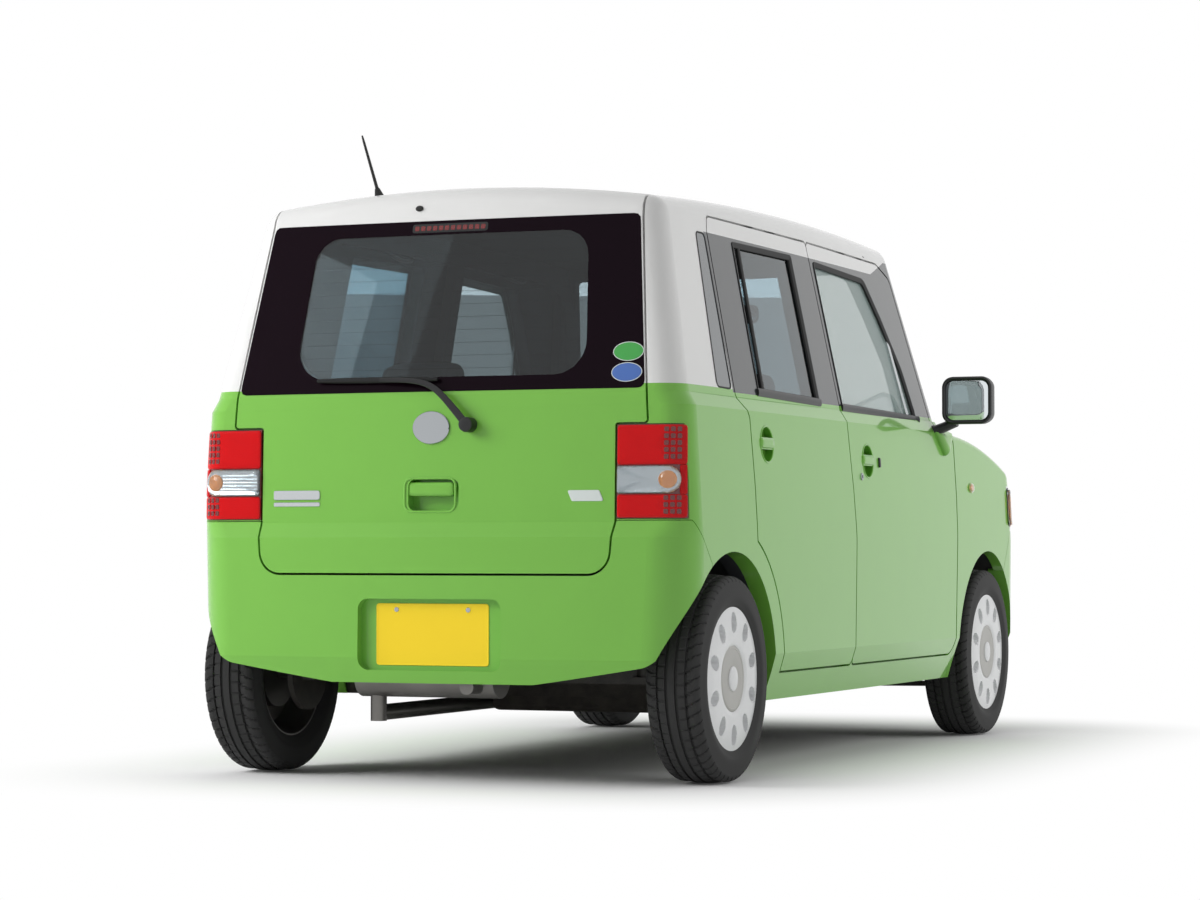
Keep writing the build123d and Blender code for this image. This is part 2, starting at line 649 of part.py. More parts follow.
def floor_pan():
    """Floor, seat riser, load floor, firewall, rear panel and rear wheelhouses, welded into one."""
    inside = skin(INNER_T)
    front = block(RISER_X - FLOOR_T, FIREWALL_X, -700, 700, SILL_Z, SILL_Z + FLOOR_T)
    riser = block(RISER_X - FLOOR_T, RISER_X, -700, 700, SILL_Z, REAR_FLOOR_Z)
    load = block(REAR_X, RISER_X, -700, 700, REAR_FLOOR_Z - FLOOR_T, REAR_FLOOR_Z)
    firewall = block(FIREWALL_X, FIREWALL_X + FLOOR_T, -BONNET_HALF_Y - GAP, BONNET_HALF_Y + GAP, SILL_Z,
                     SHOULDER_Z - 60)
    plates = (front + riser + load + firewall) & inside
    rear_panel = layer(block(REAR_X, REAR_X + 200, -498, 498, REAR_FLOOR_Z - FLOOR_T, REAR_PANEL_Z), BEHIND,
                       INNER_T)
    houses = rear_wheelhouse(1) + rear_wheelhouse(-1)
    hollows = [sided(axle(REAR_AXLE_X, REAR_HOUSE_Y + WHEELHOUSE_T, 720, ARCH_Z, WHEELHOUSE_R),
                     s) for s in (1, -1)]
    arm_room = block(REAR_AXLE_X, RISER_X - FLOOR_T, AXLE_ARM_Y[0] - GAP, AXLE_ARM_Y[1] + GAP, 0,
                     WHEEL_Z + 30)
    above_floor = block(REAR_X, 0, -700, 700, REAR_FLOOR_Z - FLOOR_T, ROOF_Z)
    axle_room = axle(REAR_AXLE_X, -600, 600, ARCH_Z, WHEELHOUSE_R) - above_floor
    below = block(REAR_X, 0, -800, 800, 0, SILL_Z)
    return one((plates + rear_panel + (houses & inside)) - [*hollows, axle_room, below, arm_room,
                                                            mirrored(arm_room)])


def front_wheelhouse():
    """Inner wing on the left, with its strut tower."""
    x = FRONT_AXLE_X
    tower = block(x - 90, x + 90, 470, 620, ARCH_Z, TOWER_TOP_Z + WHEELHOUSE_T)
    outer = axle(x, FRONT_HOUSE_Y, 800, ARCH_Z, WHEELHOUSE_R + WHEELHOUSE_T) + tower
    zone = block(FIREWALL_X + FLOOR_T, FRONT_X - 120, 0, 800, SILL_Z, ROOF_Z) & skin(FENDER_T)
    behind_bumper = across(grown(polygon(FRONT_BUMPER_LINE), SEAM), 0, 800) - skin(BUMPER_T)
    return one((outer - wheel_room()) & zone) - behind_bumper - lamp_zone_front(SEAM)


def wheel_room():
    """The space inside a front wheelhouse and its strut tower."""
    x = FRONT_AXLE_X
    tower = block(x - 76, x + 76, 484, 606, ARCH_Z, TOWER_TOP_Z)
    return one(axle(x, FRONT_HOUSE_Y + WHEELHOUSE_T, 820, ARCH_Z, WHEELHOUSE_R) + tower)


def radiator_panel():
    """The panel behind the lamps, grille and bumper, between the wheelhouses."""
    x0, z0, z1 = FRONT_X - 330, BUMPER_TOP_Z - 130, BONNET_SHUT_Z - GAP
    panel = layer(block(x0, FRONT_X, -660, 660, z0, z1), BUMPER_T, INNER_T)
    mouth = block(x0, FRONT_X, -RADIATOR_HALF_Y, RADIATOR_HALF_Y, z0 + 40, z1 - 30)
    x, reach = FRONT_AXLE_X, WHEELHOUSE_R + WHEELHOUSE_T
    house = axle(x, FRONT_HOUSE_Y, 820, ARCH_Z, reach)
    return one(panel - [mouth, house, mirrored(house)])


def load_board():
    """The flat board that covers the load floor between the rear wheelhouses."""
    x0, x1 = REAR_X + INNER_T + 28, RISER_X - 120
    half = REAR_HOUSE_Y - 8
    outline = Pos((x0 + x1) / 2, 0) * RectangleRounded(x1 - x0, 2 * half, 30)
    return upward(outline, REAR_FLOOR_Z, REAR_FLOOR_Z + LOAD_BOARD_T)


# ---------------------------------------------------------------- wheels and running gear
RIM_R, RIM_W, RIM_T = 177.8, 104.0, 5.0
COVER_R = 194.0
COVER_EDGE_OUT = 69.0
COVER_HOLES, COVER_HOLE_R = 10, 150.0
COVER_HOLE = (25.0, 19.0)             # half sizes, outwards and around
SPINDLE_R = 15.0
KINGPIN_Y = TRACK / 2 - 60.0
KNUCKLE_FOOT_Z = WHEEL_Z - 95.0
STRUT_Y = KINGPIN_Y - 47.0
STRUT_TOP_Z = TOWER_TOP_Z - GAP
ARM_Z = KNUCKLE_FOOT_Z - 22.0
ARM_T = 14.0
SUBFRAME_Z = (165.0, 215.0)
SUBFRAME_Y = 380.0


def spun(profile):
    """A profile (distance outwards, radius) turned about the wheel's own axle."""
    return revolve(Plane.YZ * profile, Axis((0, 0, 0), (0, 1, 0)))


def placed_wheel(shape, axle_x, side):
    return Pos(axle_x, side * TRACK / 2, WHEEL_Z) * sided(shape, side)


def tyre():
    half = TYRE_W / 2
    tread, bead = half - 20, half - 25
    shoulder, bulge = TYRE_R - 28, TYRE_R - 60
    return spun(make_face([
        ThreePointArc((-tread, TYRE_R - 2), (0, TYRE_R), (tread, TYRE_R - 2)),
        ThreePointArc((tread, TYRE_R - 2), (half - 8, TYRE_R - 10), (half - 2, shoulder)),
        ThreePointArc((half - 2, shoulder), (half, bulge), (bead, RIM_R + 4)),
        Polyline((bead, RIM_R + 4), (bead, RIM_R), (-bead, RIM_R), (-bead, RIM_R + 4)),
        ThreePointArc((-bead, RIM_R + 4), (-half, bulge), (-half + 2, shoulder)),
        ThreePointArc((-half + 2, shoulder), (-half + 8, TYRE_R - 10), (-tread, TYRE_R - 2)),
    ]))


def wheel():
    """A steel rim with its hub and a full cover with a ring of oval holes."""
    half, seat = RIM_W / 2, RIM_R - RUN
    barrel = [(-half, seat), (half, seat), (half, seat - RIM_T), (18, RIM_R - 28), (-half, seat - RIM_T)]
    disc = [(20, RIM_R - 26), (26, 90), (38, 60), (38, SPINDLE_R + RUN), (-8, SPINDLE_R + RUN), (-8, 34),
            (18, 40), (14, RIM_R - 24)]
    ring = [(half - 4, seat), (COVER_EDGE_OUT, seat), (COVER_EDGE_OUT, seat - 8), (half - 4, seat - 8)]
    face = make_face([
        Line((COVER_EDGE_OUT - 4, 0), (COVER_EDGE_OUT - 4, COVER_R - 3)),
        Line((COVER_EDGE_OUT - 4, COVER_R - 3), (COVER_EDGE_OUT - 2, COVER_R)),
        ThreePointArc((COVER_EDGE_OUT - 2, COVER_R), (COVER_EDGE_OUT + 5, 172), (COVER_EDGE_OUT + 4, 125)),
        Polyline((COVER_EDGE_OUT + 4, 125), (COVER_EDGE_OUT + 1, 90), (COVER_EDGE_OUT + 1, 88),
                 (COVER_EDGE_OUT + 3, 86),
                 (COVER_EDGE_OUT + 4, 36), (COVER_EDGE_OUT + 7, 33), (COVER_EDGE_OUT + 8, 0)),
        Line((COVER_EDGE_OUT + 8, 0), (COVER_EDGE_OUT - 4, 0)),
    ])
    cover = spun(face)
    radial, around = COVER_HOLE
    holes = [
        Rot(0, i * 360 / COVER_HOLES, 0) * Pos(0, COVER_EDGE_OUT - 10, COVER_HOLE_R) * Rot(-90, 0, 0)
        * extrude(Ellipse(around, radial), 40)
        for i in range(COVER_HOLES)
    ]
    return one(spun(polygon(barrel)) + spun(polygon(disc)) + spun(polygon(ring)) + (cover - holes))


def bar(start, end, width, thick, up=(0, 0, 1)):
    """A straight flat bar between two points."""
    run = Vector(*end) - Vector(*start)
    plane = Plane(origin=(Vector(*start) + Vector(*end)) / 2, x_dir=run,
                  z_dir=run.cross(Vector(*up)).cross(run) * -1)
    return plane * Box(run.length, width, thick)


def rod(start, end, radius, end_radius=None):
    """A round bar between two points, straight or tapered."""
    run = Vector(*end) - Vector(*start)
    plane = Plane(origin=(Vector(*start) + Vector(*end)) / 2, z_dir=run)
    return plane * (Cylinder(radius, run.length) if end_radius is None else Cone(radius, end_radius,
                                                                                 run.length))


def knuckle(side):
    """Hub carrier, spindle and strut, which turn together about the upright kingpin."""
    x, y, z = FRONT_AXLE_X, KINGPIN_Y, WHEEL_Z
    carrier = block(x - 46, x + 46, y - 22, y + 22, KNUCKLE_FOOT_Z, z + 92)
    spindle = axle(x, y, TRACK / 2 + 34, z, SPINDLE_R)
    brake = axle(x, y + 6, y + 26, z, 95)
    strut = rod((x, STRUT_Y, z + 40), (x, STRUT_Y, STRUT_TOP_Z), 23)
    bracket = block(x - 26, x + 26, STRUT_Y - 8, y, z + 50, z + 92)
    spring = rod((x, STRUT_Y, z + 305), (x, STRUT_Y, STRUT_TOP_Z - 10), 38)
    pin_hole = rod((x, y, KNUCKLE_FOOT_Z - 1), (x, y, KNUCKLE_FOOT_Z + 22), 9 + RUN)
    return sided(one(carrier + [spindle, brake, strut, bracket, spring] - pin_hole), side)


def front_suspension():
    """Crossmember, its legs back to the floor, and the lower arms with their ball pins."""
    x = FRONT_AXLE_X
    z0, z1 = SUBFRAME_Z
    beam = block(x - 95, x + 95, -SUBFRAME_Y, SUBFRAME_Y, z0, z1)
    legs = [block(x - 360, x - 90, s * 300 - 30, s * 300 + 30, z0 + 8, SILL_Z) for s in (1, -1)]
    out = beam + legs
    arm = upward(polygon([(x - 85, SUBFRAME_Y - 5), (x + 85, SUBFRAME_Y - 5), (x + 24, KINGPIN_Y + 16),
                          (x - 24, KINGPIN_Y + 16)]), ARM_Z, ARM_Z + ARM_T)
    pin = rod((x, KINGPIN_Y, ARM_Z + 2), (x, KINGPIN_Y, KNUCKLE_FOOT_Z + 20), 9)
    out += [arm, mirrored(arm), pin, mirrored(pin)]
    return one(out)


BEAM_X = REAR_AXLE_X + 150.0


def rear_axle():
    """A twist beam: cross beam, trailing arms, spindles, backing plates, springs and dampers."""
    x, z = REAR_AXLE_X, WHEEL_Z
    y0, y1 = AXLE_ARM_Y
    out = block(BEAM_X - 35, BEAM_X + 35, -y0 - 5, y0 + 5, z - 24, z + 24)
    for s in (1, -1):
        arm = block(x - 50, RISER_X - FLOOR_T, y0, y1, z - 20, z + 20)
        spindle = axle(x, y1 - 5, TRACK / 2 + 34, z, SPINDLE_R)
        plate = axle(x, y1 - 4, y1 + 12, z, 105)
        seat = block(BEAM_X - 60, BEAM_X + 30, 395, y0 + 2, z - 18, z - 4)
        spring = rod((BEAM_X - 10, 440, z - 6), (BEAM_X - 10, 440, REAR_FLOOR_Z - FLOOR_T), 44)
        out += [sided(piece, s) for piece in (arm, spindle, plate, seat, spring)]
    return one(out)


def fuel_tank():
    tank = block(-880, -420, -420, 180, 158, SILL_Z)
    return fillet(tank.edges().group_by(Axis.Z)[0], 18)


EXHAUST_Y, EXHAUST_Z, PIPE_R = 225.0, 180.0, 22.0


def exhaust():
    """Pipe from the engine to a transverse silencer and a short tailpipe."""
    muffler_x, muffler_z, muffler_r = REAR_X + 165, 286.0, 62.0
    pipe = rod((FRONT_AXLE_X - 95, EXHAUST_Y, EXHAUST_Z), (muffler_x, EXHAUST_Y, EXHAUST_Z), PIPE_R)
    rise = rod((muffler_x, EXHAUST_Y, EXHAUST_Z - PIPE_R), (muffler_x, EXHAUST_Y, muffler_z), PIPE_R)
    muffler = axle(muffler_x, -140, EXHAUST_Y + 45, muffler_z, muffler_r)
    tail = rod((muffler_x, -90, muffler_z - 28), (REAR_X + 50, -90, muffler_z - 28), 20)
    hanger = block(muffler_x - 15, muffler_x + 15, 60, 90, muffler_z, REAR_FLOOR_Z - FLOOR_T)
    return one(pipe + [rise, muffler, tail, hanger])


def engine():
    """Engine and gearbox as one block, on its mount over the crossmember."""
    main = block(FRONT_AXLE_X - 215, FRONT_AXLE_X + 150, -330, 340, 300, 790)
    main = fillet(main.edges(), 18)
    foot = block(FRONT_AXLE_X - 60, FRONT_AXLE_X + 60, -110, 110, SUBFRAME_Z[1], 310)
    return one(main + foot)


# ---------------------------------------------------------------- cabin
WHEEL_HUB = Vector(392, -335, 900)
COLUMN_DIR = Vector(cos(radians(25)), 0, -sin(radians(25)))
STEERING_R = 182.0
SEAT_Y, SEAT_W = 330.0, 490.0
CUSHION_Z = (340.0, 505.0)


def dashboard():
    shape = [(FIREWALL_X, 600), (FIREWALL_X, SHOULDER_Z - 62), (700, 985), (560, 968), (500, 915),
             (512, 850), (590, 640)]
    fascia = across(polygon(shape, [2, 30, 40, 30, 30, 30, 40]), -700, 700) & skin(INNER_T)
    column = rod(tuple(WHEEL_HUB + COLUMN_DIR * 42), tuple(WHEEL_HUB + COLUMN_DIR * 190), 24)
    return one(fascia + column)


def steering_wheel():
    plane = Plane(origin=WHEEL_HUB, x_dir=(0, 1, 0), z_dir=COLUMN_DIR)
    rim = Torus(STEERING_R, 15)
    hub = Pos(0, 0, 10) * Cylinder(62, 36)
    stub = Pos(0, 0, 34) * Cylinder(20, 15.4)
    spokes = [Rot(0, 0, a) * Pos(STEERING_R / 2, 0, 6) * Box(STEERING_R, 34, 12) for a in (0, 180, 90)]
    return plane * one(rim + [hub, stub, *spokes])


def seat(y, width, x_front, x_back, lean, head_count):
    """Cushion, backrest, head restraints and a plinth down to the floor."""
    z0, z1 = CUSHION_Z
    cushion = fillet(block(x_back - 40, x_front, y - width / 2, y + width / 2, z0, z1).edges(), 40)
    back = Box(135, width, 610)
    back = fillet(back.edges(), 42)
    back = Pos(x_back, y, z0 + 60) * Rot(0, -lean, 0) * Pos(-20, 0, 300) * back
    out = cushion + back
    spread = 0 if head_count == 1 else width / 2 - 230
    for offset_y in sorted({-spread, spread}):
        top = Pos(x_back, y + offset_y, z0 + 60) * Rot(0, -lean, 0)
        out += top * Pos(-20, 0, 702) * fillet(Box(95, 250, 165).edges(), 35)
        out += [top * Pos(-20, k, 610) * Cylinder(7, 80) for k in (-55, 55)]
    plinth = block(x_back + 20, x_front - 90, y - width / 2 + 70, y + width / 2 - 70, SILL_Z + FLOOR_T,
                   z0 + 30)
    return one(out + plinth)


def antenna():
    foot = Vector(REAR_X + 352, 315, 1592)
    tip = Vector(REAR_X + 237, 316, 1765)
    mast = rod(tuple(foot), tuple(tip), 4.5, 2.5)
    base = rod(tuple(foot), tuple(foot + (tip - foot).normalized() * 32), 17, 8)
    return one((mast + base) - crown(ROOF_Z + FIT, ROOF_MID_X, ROOF_RX, ROOF_RY))


def number_plates():
    width, height, thick = PLATE
    rear_x = REAR_X + PLATE_RECESS[3]
    rear = along(Pos(0, PLATE_RECESS[2]) * RectangleRounded(width, height, 6), rear_x - thick, rear_x)
    front = along(Pos(0, FRONT_PLATE_Z) * RectangleRounded(width, height, 6), FRONT_PLATE_X, FRONT_PLATE_X
                  + thick)
    return rear + front


def rear_wiper():
    """Pivot on the tailgate below the glass, a bent arm and a level blade."""
    hub = along(Pos(-106, 953) * Circle(19), REAR_X + 6, REAR_X + 70)
    arm = bar((REAR_X + 18, -106, 953), (REAR_X + 28, 12, 1076), 17, 12, up=(1, 0, 0))
    blade = block(REAR_X + 22, REAR_X + 80, -12, 352, 1069, 1083)
    return one((hub + [arm, blade]) - skin(0))


def screen_point(y, z, out=0.0):
    """A point on the windscreen's surface, or a little outside it."""
    rise = (z - BELT_Z) / (ROOF_Z + 60 - BELT_Z)
    x = FRONT_X - 847 - rise * 295 - (150 - 35 * rise) * (y / 690) ** 2
    return (x + out, y, z)


def windscreen_wipers():
    """Two arms from pivots in the cowl, blades parked along the foot of the glass."""
    out = []
    for pivot_y, tip_y in ((-420.0, 60.0), (130.0, 560.0)):
        pivot = screen_point(pivot_y, 1040, 34)
        elbow = screen_point((pivot_y + tip_y) / 2, 1088, 22)
        hub = rod((pivot[0], pivot_y, 985), (pivot[0], pivot_y, 1052), 15)
        arm = bar((pivot[0], pivot_y, 1044), elbow, 16, 10)
        blade = bar(screen_point(pivot_y + 90, 1078, 12), screen_point(tip_y, 1092, 12), 16, 22)
        out.append(one((hub + [arm, blade]) - [skin(0), screen_zone]))
    return Compound(out)


MIRROR = (548.0, 628.0, 748.0, 915.0, 1022.0, 1177.0)   # x, y and z ranges of the left housing


def door_mirror(side):
    """Housing on a stalk, and a vee-shaped foot on the door's front corner."""
    x0, x1, y0, y1, z0, z1 = MIRROR
    housing = block(*MIRROR)
    housing = fillet(housing.edges().filter_by(Axis.X), 34)
    housing = fillet(housing.faces().sort_by(Axis.X)[-1].edges(), 26)
    glass_seat = fillet(block(x0 - 1, x0 + 8, y0 + 13, y1 - 13, z0 + 13, z1 - 13).edges().filter_by(Axis.X),
                        24)
    stalk = block(x0 + 12, x1 - 8, 600, y0 + 60, z0 - 14, z0 + 24)
    foot = across(polygon([(552, 1014), (752, 1002), (690, 930), (662, 924)], 12), 690, 752)
    foot = foot & across(polygon([(500, 900), (800, 900), (800, 1020), (500, 1020)]), 600, 760)
    shape = housing - glass_seat + [stalk, foot]
    return sided(one(shape - skin(0)), side)


def write_all():
    """Every sub-part, one STEP file each."""
    os.makedirs("parts", exist_ok=True)
    shell = body_side()
    doors = {
        "front_door": (side_door(front_door_outline, front_window, FRONT_HANDLE, FRONT_SHUT_X),
                       door_glass(front_window)),
        "rear_door": (side_door(rear_door_outline, rear_window, REAR_HANDLE, REAR_HINGE_X),
                      door_glass(rear_window)),
    }
    fender, inner_wing = front_fender(), front_wheelhouse()
    for side, hand in ((1, "left"), (-1, "right")):
        write(sided(fuel_pocket(shell) if side > 0 else shell, side), f"body_side_{hand}")
        write(sided(fender, side), f"front_fender_{hand}")
        for name, (panel, glass) in doors.items():
            write(sided(panel, side), f"{name}_{hand}")
            write(sided(glass, side), f"{name}_glass_{hand}")
        write(door_mirror(side), f"door_mirror_{hand}")
        write(knuckle(side), f"knuckle_{hand}")
        write(sided(inner_wing, side), f"front_wheelhouse_{hand}")
        write(seat(side * SEAT_Y, SEAT_W, 440, -30, 15, 1), f"front_seat_{hand}")
        for end, axle_x in (("front", FRONT_AXLE_X), ("rear", REAR_AXLE_X)):
            write(placed_wheel(tyre(), axle_x, side), f"{end}_tyre_{hand}")
            write(placed_wheel(wheel(), axle_x, side), f"{end}_wheel_{hand}")
    write(seat(0, 1150, -440, -830, 12, 2), "rear_seat")
    for make in (roof, bonnet, cowl, windscreen, quarter_glasses, front_bumper, rear_bumper, front_grille,
                 headlamps,
                 tail_lamps, fuel_flap, tailgate, tailgate_glass, rear_wiper, windscreen_wipers, floor_pan,
                 load_board, radiator_panel, front_suspension, rear_axle, fuel_tank, exhaust, engine,
                 dashboard,
                 steering_wheel, antenna, number_plates):
        write(make(), make.__name__)


write_all()
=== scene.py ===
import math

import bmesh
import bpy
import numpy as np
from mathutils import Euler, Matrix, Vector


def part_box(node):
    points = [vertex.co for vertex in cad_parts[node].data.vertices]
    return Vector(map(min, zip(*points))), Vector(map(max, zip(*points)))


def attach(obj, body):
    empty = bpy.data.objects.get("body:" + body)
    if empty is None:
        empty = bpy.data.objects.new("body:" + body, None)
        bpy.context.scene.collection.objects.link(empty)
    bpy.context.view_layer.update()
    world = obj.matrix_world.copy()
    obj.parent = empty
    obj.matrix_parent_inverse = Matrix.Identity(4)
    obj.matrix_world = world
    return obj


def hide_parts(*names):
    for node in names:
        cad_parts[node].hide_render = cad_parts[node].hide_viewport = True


bl_info = {
    "name": "Kei Car Dressing",
    "version": (1, 0, 0),
    "blender": (4, 5, 0),
    "location": "3D View > Sidebar > Kei Car",
    "description": "Gives a small four-door car its paint, glass, lamps, tyres, seats and trim",
    "category": "Add Mesh",
}

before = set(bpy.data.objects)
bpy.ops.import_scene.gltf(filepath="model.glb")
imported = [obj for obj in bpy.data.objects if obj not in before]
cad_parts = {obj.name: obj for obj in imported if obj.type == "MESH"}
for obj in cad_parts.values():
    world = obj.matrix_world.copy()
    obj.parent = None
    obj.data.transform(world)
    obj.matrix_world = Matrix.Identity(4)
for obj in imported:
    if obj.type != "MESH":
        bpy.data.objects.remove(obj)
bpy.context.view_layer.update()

# ---------------------------------------------------------------- places read from the frame, in metres
SIDES = {"left": 1.0, "right": -1.0}
ENDS = ("front", "rear")
HALF_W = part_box("rear_bumper")[1].y + 0.009
FRONT_X = 1.6975
REAR_X = -FRONT_X
BELT_Z = 1.035              # foot of the side windows
TYRE_LOW, TYRE_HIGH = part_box("rear_tyre_left")
TYRE_R = (TYRE_HIGH.z - TYRE_LOW.z) / 2
TYRE_W = TYRE_HIGH.y - TYRE_LOW.y
RIM_R = 0.1778

# Levels of the body form. The columns after the height: side inset, rear inset, rear bow, rear corner
# radius, and where the side ends at the rear and at the front
SIDE_INSET, REAR_INSET, REAR_BOW, CORNER_R, SIDE_REAR, SIDE_FRONT = range(1, 7)
LEVELS = np.array([
    (0.205, 0.047, 0.030, 0.026, 0.115, 0.056, 0.135),
    (0.335, 0.006, 0.000, 0.026, 0.130, 0.026, 0.105),
    (0.655, 0.000, 0.006, 0.024, 0.120, 0.030, 0.113),
    (0.695, 0.0005, 0.032, 0.018, 0.085, 0.050, 0.124),
    (0.800, 0.004, 0.034, 0.018, 0.078, 0.052, 0.132),
    (1.000, 0.016, 0.039, 0.018, 0.075, 0.057, 0.172),
    (BELT_Z, 0.037, 0.041, 0.018, 0.075, 0.059, 0.190),
    (1.0351, 0.037, 0.041, 0.018, 0.075, 0.059, 0.997),
    (1.700, 0.167, 0.195, 0.014, 0.062, 0.209, 1.257),
])
SIDE_BOW = 0.010
# The windscreen's height, its foot's place behind the nose, how far its head lies behind its foot, and
# the direction square to it
SCREEN_RISE, SCREEN_FOOT, SCREEN_RAKE = 0.665, 0.847, 0.295
SCREEN_OUT = (0.914, 0.0, 0.406)


def at_level(z, column):
    """One column of LEVELS at height z, on straight lines between its rows."""
    return np.interp(z, LEVELS[:, 0], LEVELS[:, column])


def side_y(x, z):
    """Half width of the skin: the level's half width, less a shallow parabola along x."""
    rear, front = REAR_X + at_level(z, SIDE_REAR), FRONT_X - at_level(z, SIDE_FRONT)
    run = (x - (rear + front) / 2) / ((front - rear) / 2)
    return HALF_W - at_level(z, SIDE_INSET) - SIDE_BOW * run ** 2


def rear_x(y, z):
    """Place of the rear skin: the level's rear inset plus a bow that grows with the square of y."""
    corner = HALF_W - at_level(z, SIDE_INSET) - SIDE_BOW
    return REAR_X + at_level(z, REAR_INSET) + at_level(z, REAR_BOW) * (y / corner) ** 2


def on_side(sign):
    """Maps (x, z, height above the skin) to space on one side of the body."""
    return lambda u, v, out: np.stack([u, sign * (side_y(u, v) + out), v], -1)


def on_rear(u, v, out):
    """Maps (y, z, height above the skin) to space on the rear face."""
    return np.stack([rear_x(u, v) - out, u, v], -1)


def on_screen(u, v, out):
    """Maps (y, z, height) to the windscreen: straight in z, and bowed with the square of y."""
    rise = (v - BELT_Z) / SCREEN_RISE
    x = FRONT_X - SCREEN_FOOT - rise * SCREEN_RAKE - (0.150 - 0.035 * rise) * (u / 0.690) ** 2
    return np.stack([x + out, u, v], -1)


def on_plane(x, sign):
    """Maps (y, z, height) to an upright plane across the car that faces rear (-1) or front (1)."""
    return lambda u, v, out: np.stack([x + sign * out + 0 * u, u, v], -1)


# ---------------------------------------------------------------- outlines, as arrays of points
def rounded(points, radii, steps=8):
    """A closed outline. Each corner is an arc that touches both its sides, sampled evenly by angle."""
    p = np.array(points, float)
    radii = np.broadcast_to(radii, len(p))
    out = []
    for corner, before, after, r in zip(p, np.roll(p, 1, 0), np.roll(p, -1, 0), radii):
        a, b = before - corner, after - corner
        a, b = a / np.linalg.norm(a), b / np.linalg.norm(b)
        half = math.acos(np.clip(a @ b, -1, 1)) / 2
        middle = corner + (a + b) / np.linalg.norm(a + b) * r / math.sin(half)
        start, end = corner + a * r / math.tan(half) - middle, corner + b * r / math.tan(half) - middle
        from_a = math.atan2(start[1], start[0])
        turn = (math.atan2(end[1], end[0]) - from_a + math.pi) % (2 * math.pi) - math.pi
        t = from_a + turn * np.linspace(0, 1, steps)
        out.append(middle + r * np.stack([np.cos(t), np.sin(t)], -1))
    return np.concatenate(out)


def box_outline(u, v, width, height, radius, steps=8):
    """A box round (u, v) whose corners are arcs."""
    w, h = width / 2, height / 2
    return rounded([(u - w, v - h), (u + w, v - h), (u + w, v + h), (u - w, v + h)], radius, steps)


def oval(u, v, width, height, steps=48):
    """An ellipse round (u, v): half the width times the cosine, half the height times the sine."""
    t = np.linspace(0, 2 * math.pi, steps, endpoint=False)
    return np.stack([u + width / 2 * np.cos(t), v + height / 2 * np.sin(t)], -1)


def even(outline, count):
    """The same closed outline with count points, evenly spaced along it."""
    loop = np.vstack([outline, outline[:1]])
    run = np.concatenate([[0], np.cumsum(np.linalg.norm(np.diff(loop, axis=0), axis=1))])
    at = np.linspace(0, run[-1], count, endpoint=False)
    return np.stack([np.interp(at, run, loop[:, k]) for k in range(2)], -1)


def inset(outline, by):
    """An outline moved inwards: each point goes along the normal of the chord between its neighbours."""
    chord = np.roll(outline, -1, 0) - np.roll(outline, 1, 0)
    normal = np.stack([-chord[:, 1], chord[:, 0]], -1)
    normal /= np.linalg.norm(normal, axis=1)[:, None] + 1e-12
    x, y = outline.T
    turning = np.sum(x * np.roll(y, -1) - np.roll(x, -1) * y)
    return outline + normal * by * np.sign(turning)


# ---------------------------------------------------------------- meshes
MERGE_M = 1e-6              # points nearer than this are one
SHARP_DEGREES = 35.0        # an edge that turns more than this is sharp


def quads(rows, columns, wrap_rows=False):
    """Index of every quad on a grid of points. Columns join round, and rows do too where they wrap."""
    i = np.arange(rows if wrap_rows else rows - 1)[:, None]
    j = np.arange(columns)[None, :]
    ii, jj = (i + 1) % rows, (j + 1) % columns
    corners = [i * columns + j, i * columns + jj, ii * columns + jj, ii * columns + j]
    return np.stack([c + 0 * i + 0 * j for c in corners], -1).reshape(-1, 4)


def piece(name, parts, coat, body, sharp=SHARP_DEGREES, replaces=()):
    """One object from several (points, faces) surfaces, with doubled points merged and faces outwards."""
    points = np.concatenate([p.reshape(-1, 3) for p, _ in parts])
    starts = np.cumsum([0] + [p.reshape(-1, 3).shape[0] for p, _ in parts[:-1]])
    faces = np.concatenate([f + s for (_, f), s in zip(parts, starts)])
    mesh = bpy.data.meshes.new(name)
    mesh.vertices.add(len(points))
    mesh.vertices.foreach_set("co", points.astype(np.float32).ravel())
    mesh.loops.add(faces.size)
    mesh.loops.foreach_set("vertex_index", faces.astype(np.int32).ravel())
    mesh.polygons.add(len(faces))
    mesh.polygons.foreach_set("loop_start", np.arange(0, faces.size, 4, dtype=np.int32))
    mesh.update(calc_edges=True)
    merged = bmesh.new()
    merged.from_mesh(mesh)
    bmesh.ops.remove_doubles(merged, verts=merged.verts, dist=MERGE_M)
    bmesh.ops.recalc_face_normals(merged, faces=merged.faces)
    merged.to_mesh(mesh)
    merged.free()
    mesh.validate()
    mesh.polygons.foreach_set("use_smooth", np.ones(len(mesh.polygons), bool))
    mesh.set_sharp_from_angle(angle=math.radians(sharp))
    mesh.materials.append(bpy.data.materials[coat])
    obj = bpy.data.objects.new(name, mesh)
    bpy.context.scene.collection.objects.link(obj)
    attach(obj, body)
    if replaces:
        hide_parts(*replaces)
    return obj


def ring(grid):
    """A grid of points whose rows and columns both join round."""
    return grid, quads(*grid.shape[:2], wrap_rows=True)


def pillow(outline, place, rows, count):
    """A closed plate on a surface. Each row is the outline moved inwards by rows[k][0], at height rows[k][1].
    The first and last rows also run in to the middle, so the plate has a back and a crown."""
    loop = even(outline, count)
    middle = loop.mean(0)
    edges = [(inset(loop, by), out) for by, out in rows]
    rings = [place(edge[:, 0], edge[:, 1], out + 0 * edge[:, 0]) for edge, out in edges]
    first, last = inset(loop, rows[0][0]), inset(loop, rows[-1][0])
    spokes = (0.0, 0.35, 0.7)
    back = [place(*(middle + k * (first - middle)).T, rows[0][1] + 0 * loop[:, 0]) for k in spokes]
    crown = [place(*(middle + k * (last - middle)).T, rows[-1][1] + 0 * loop[:, 0]) for k in reversed(spokes)]
    grid = np.stack(back + rings + crown)
    return grid, quads(len(grid), count)


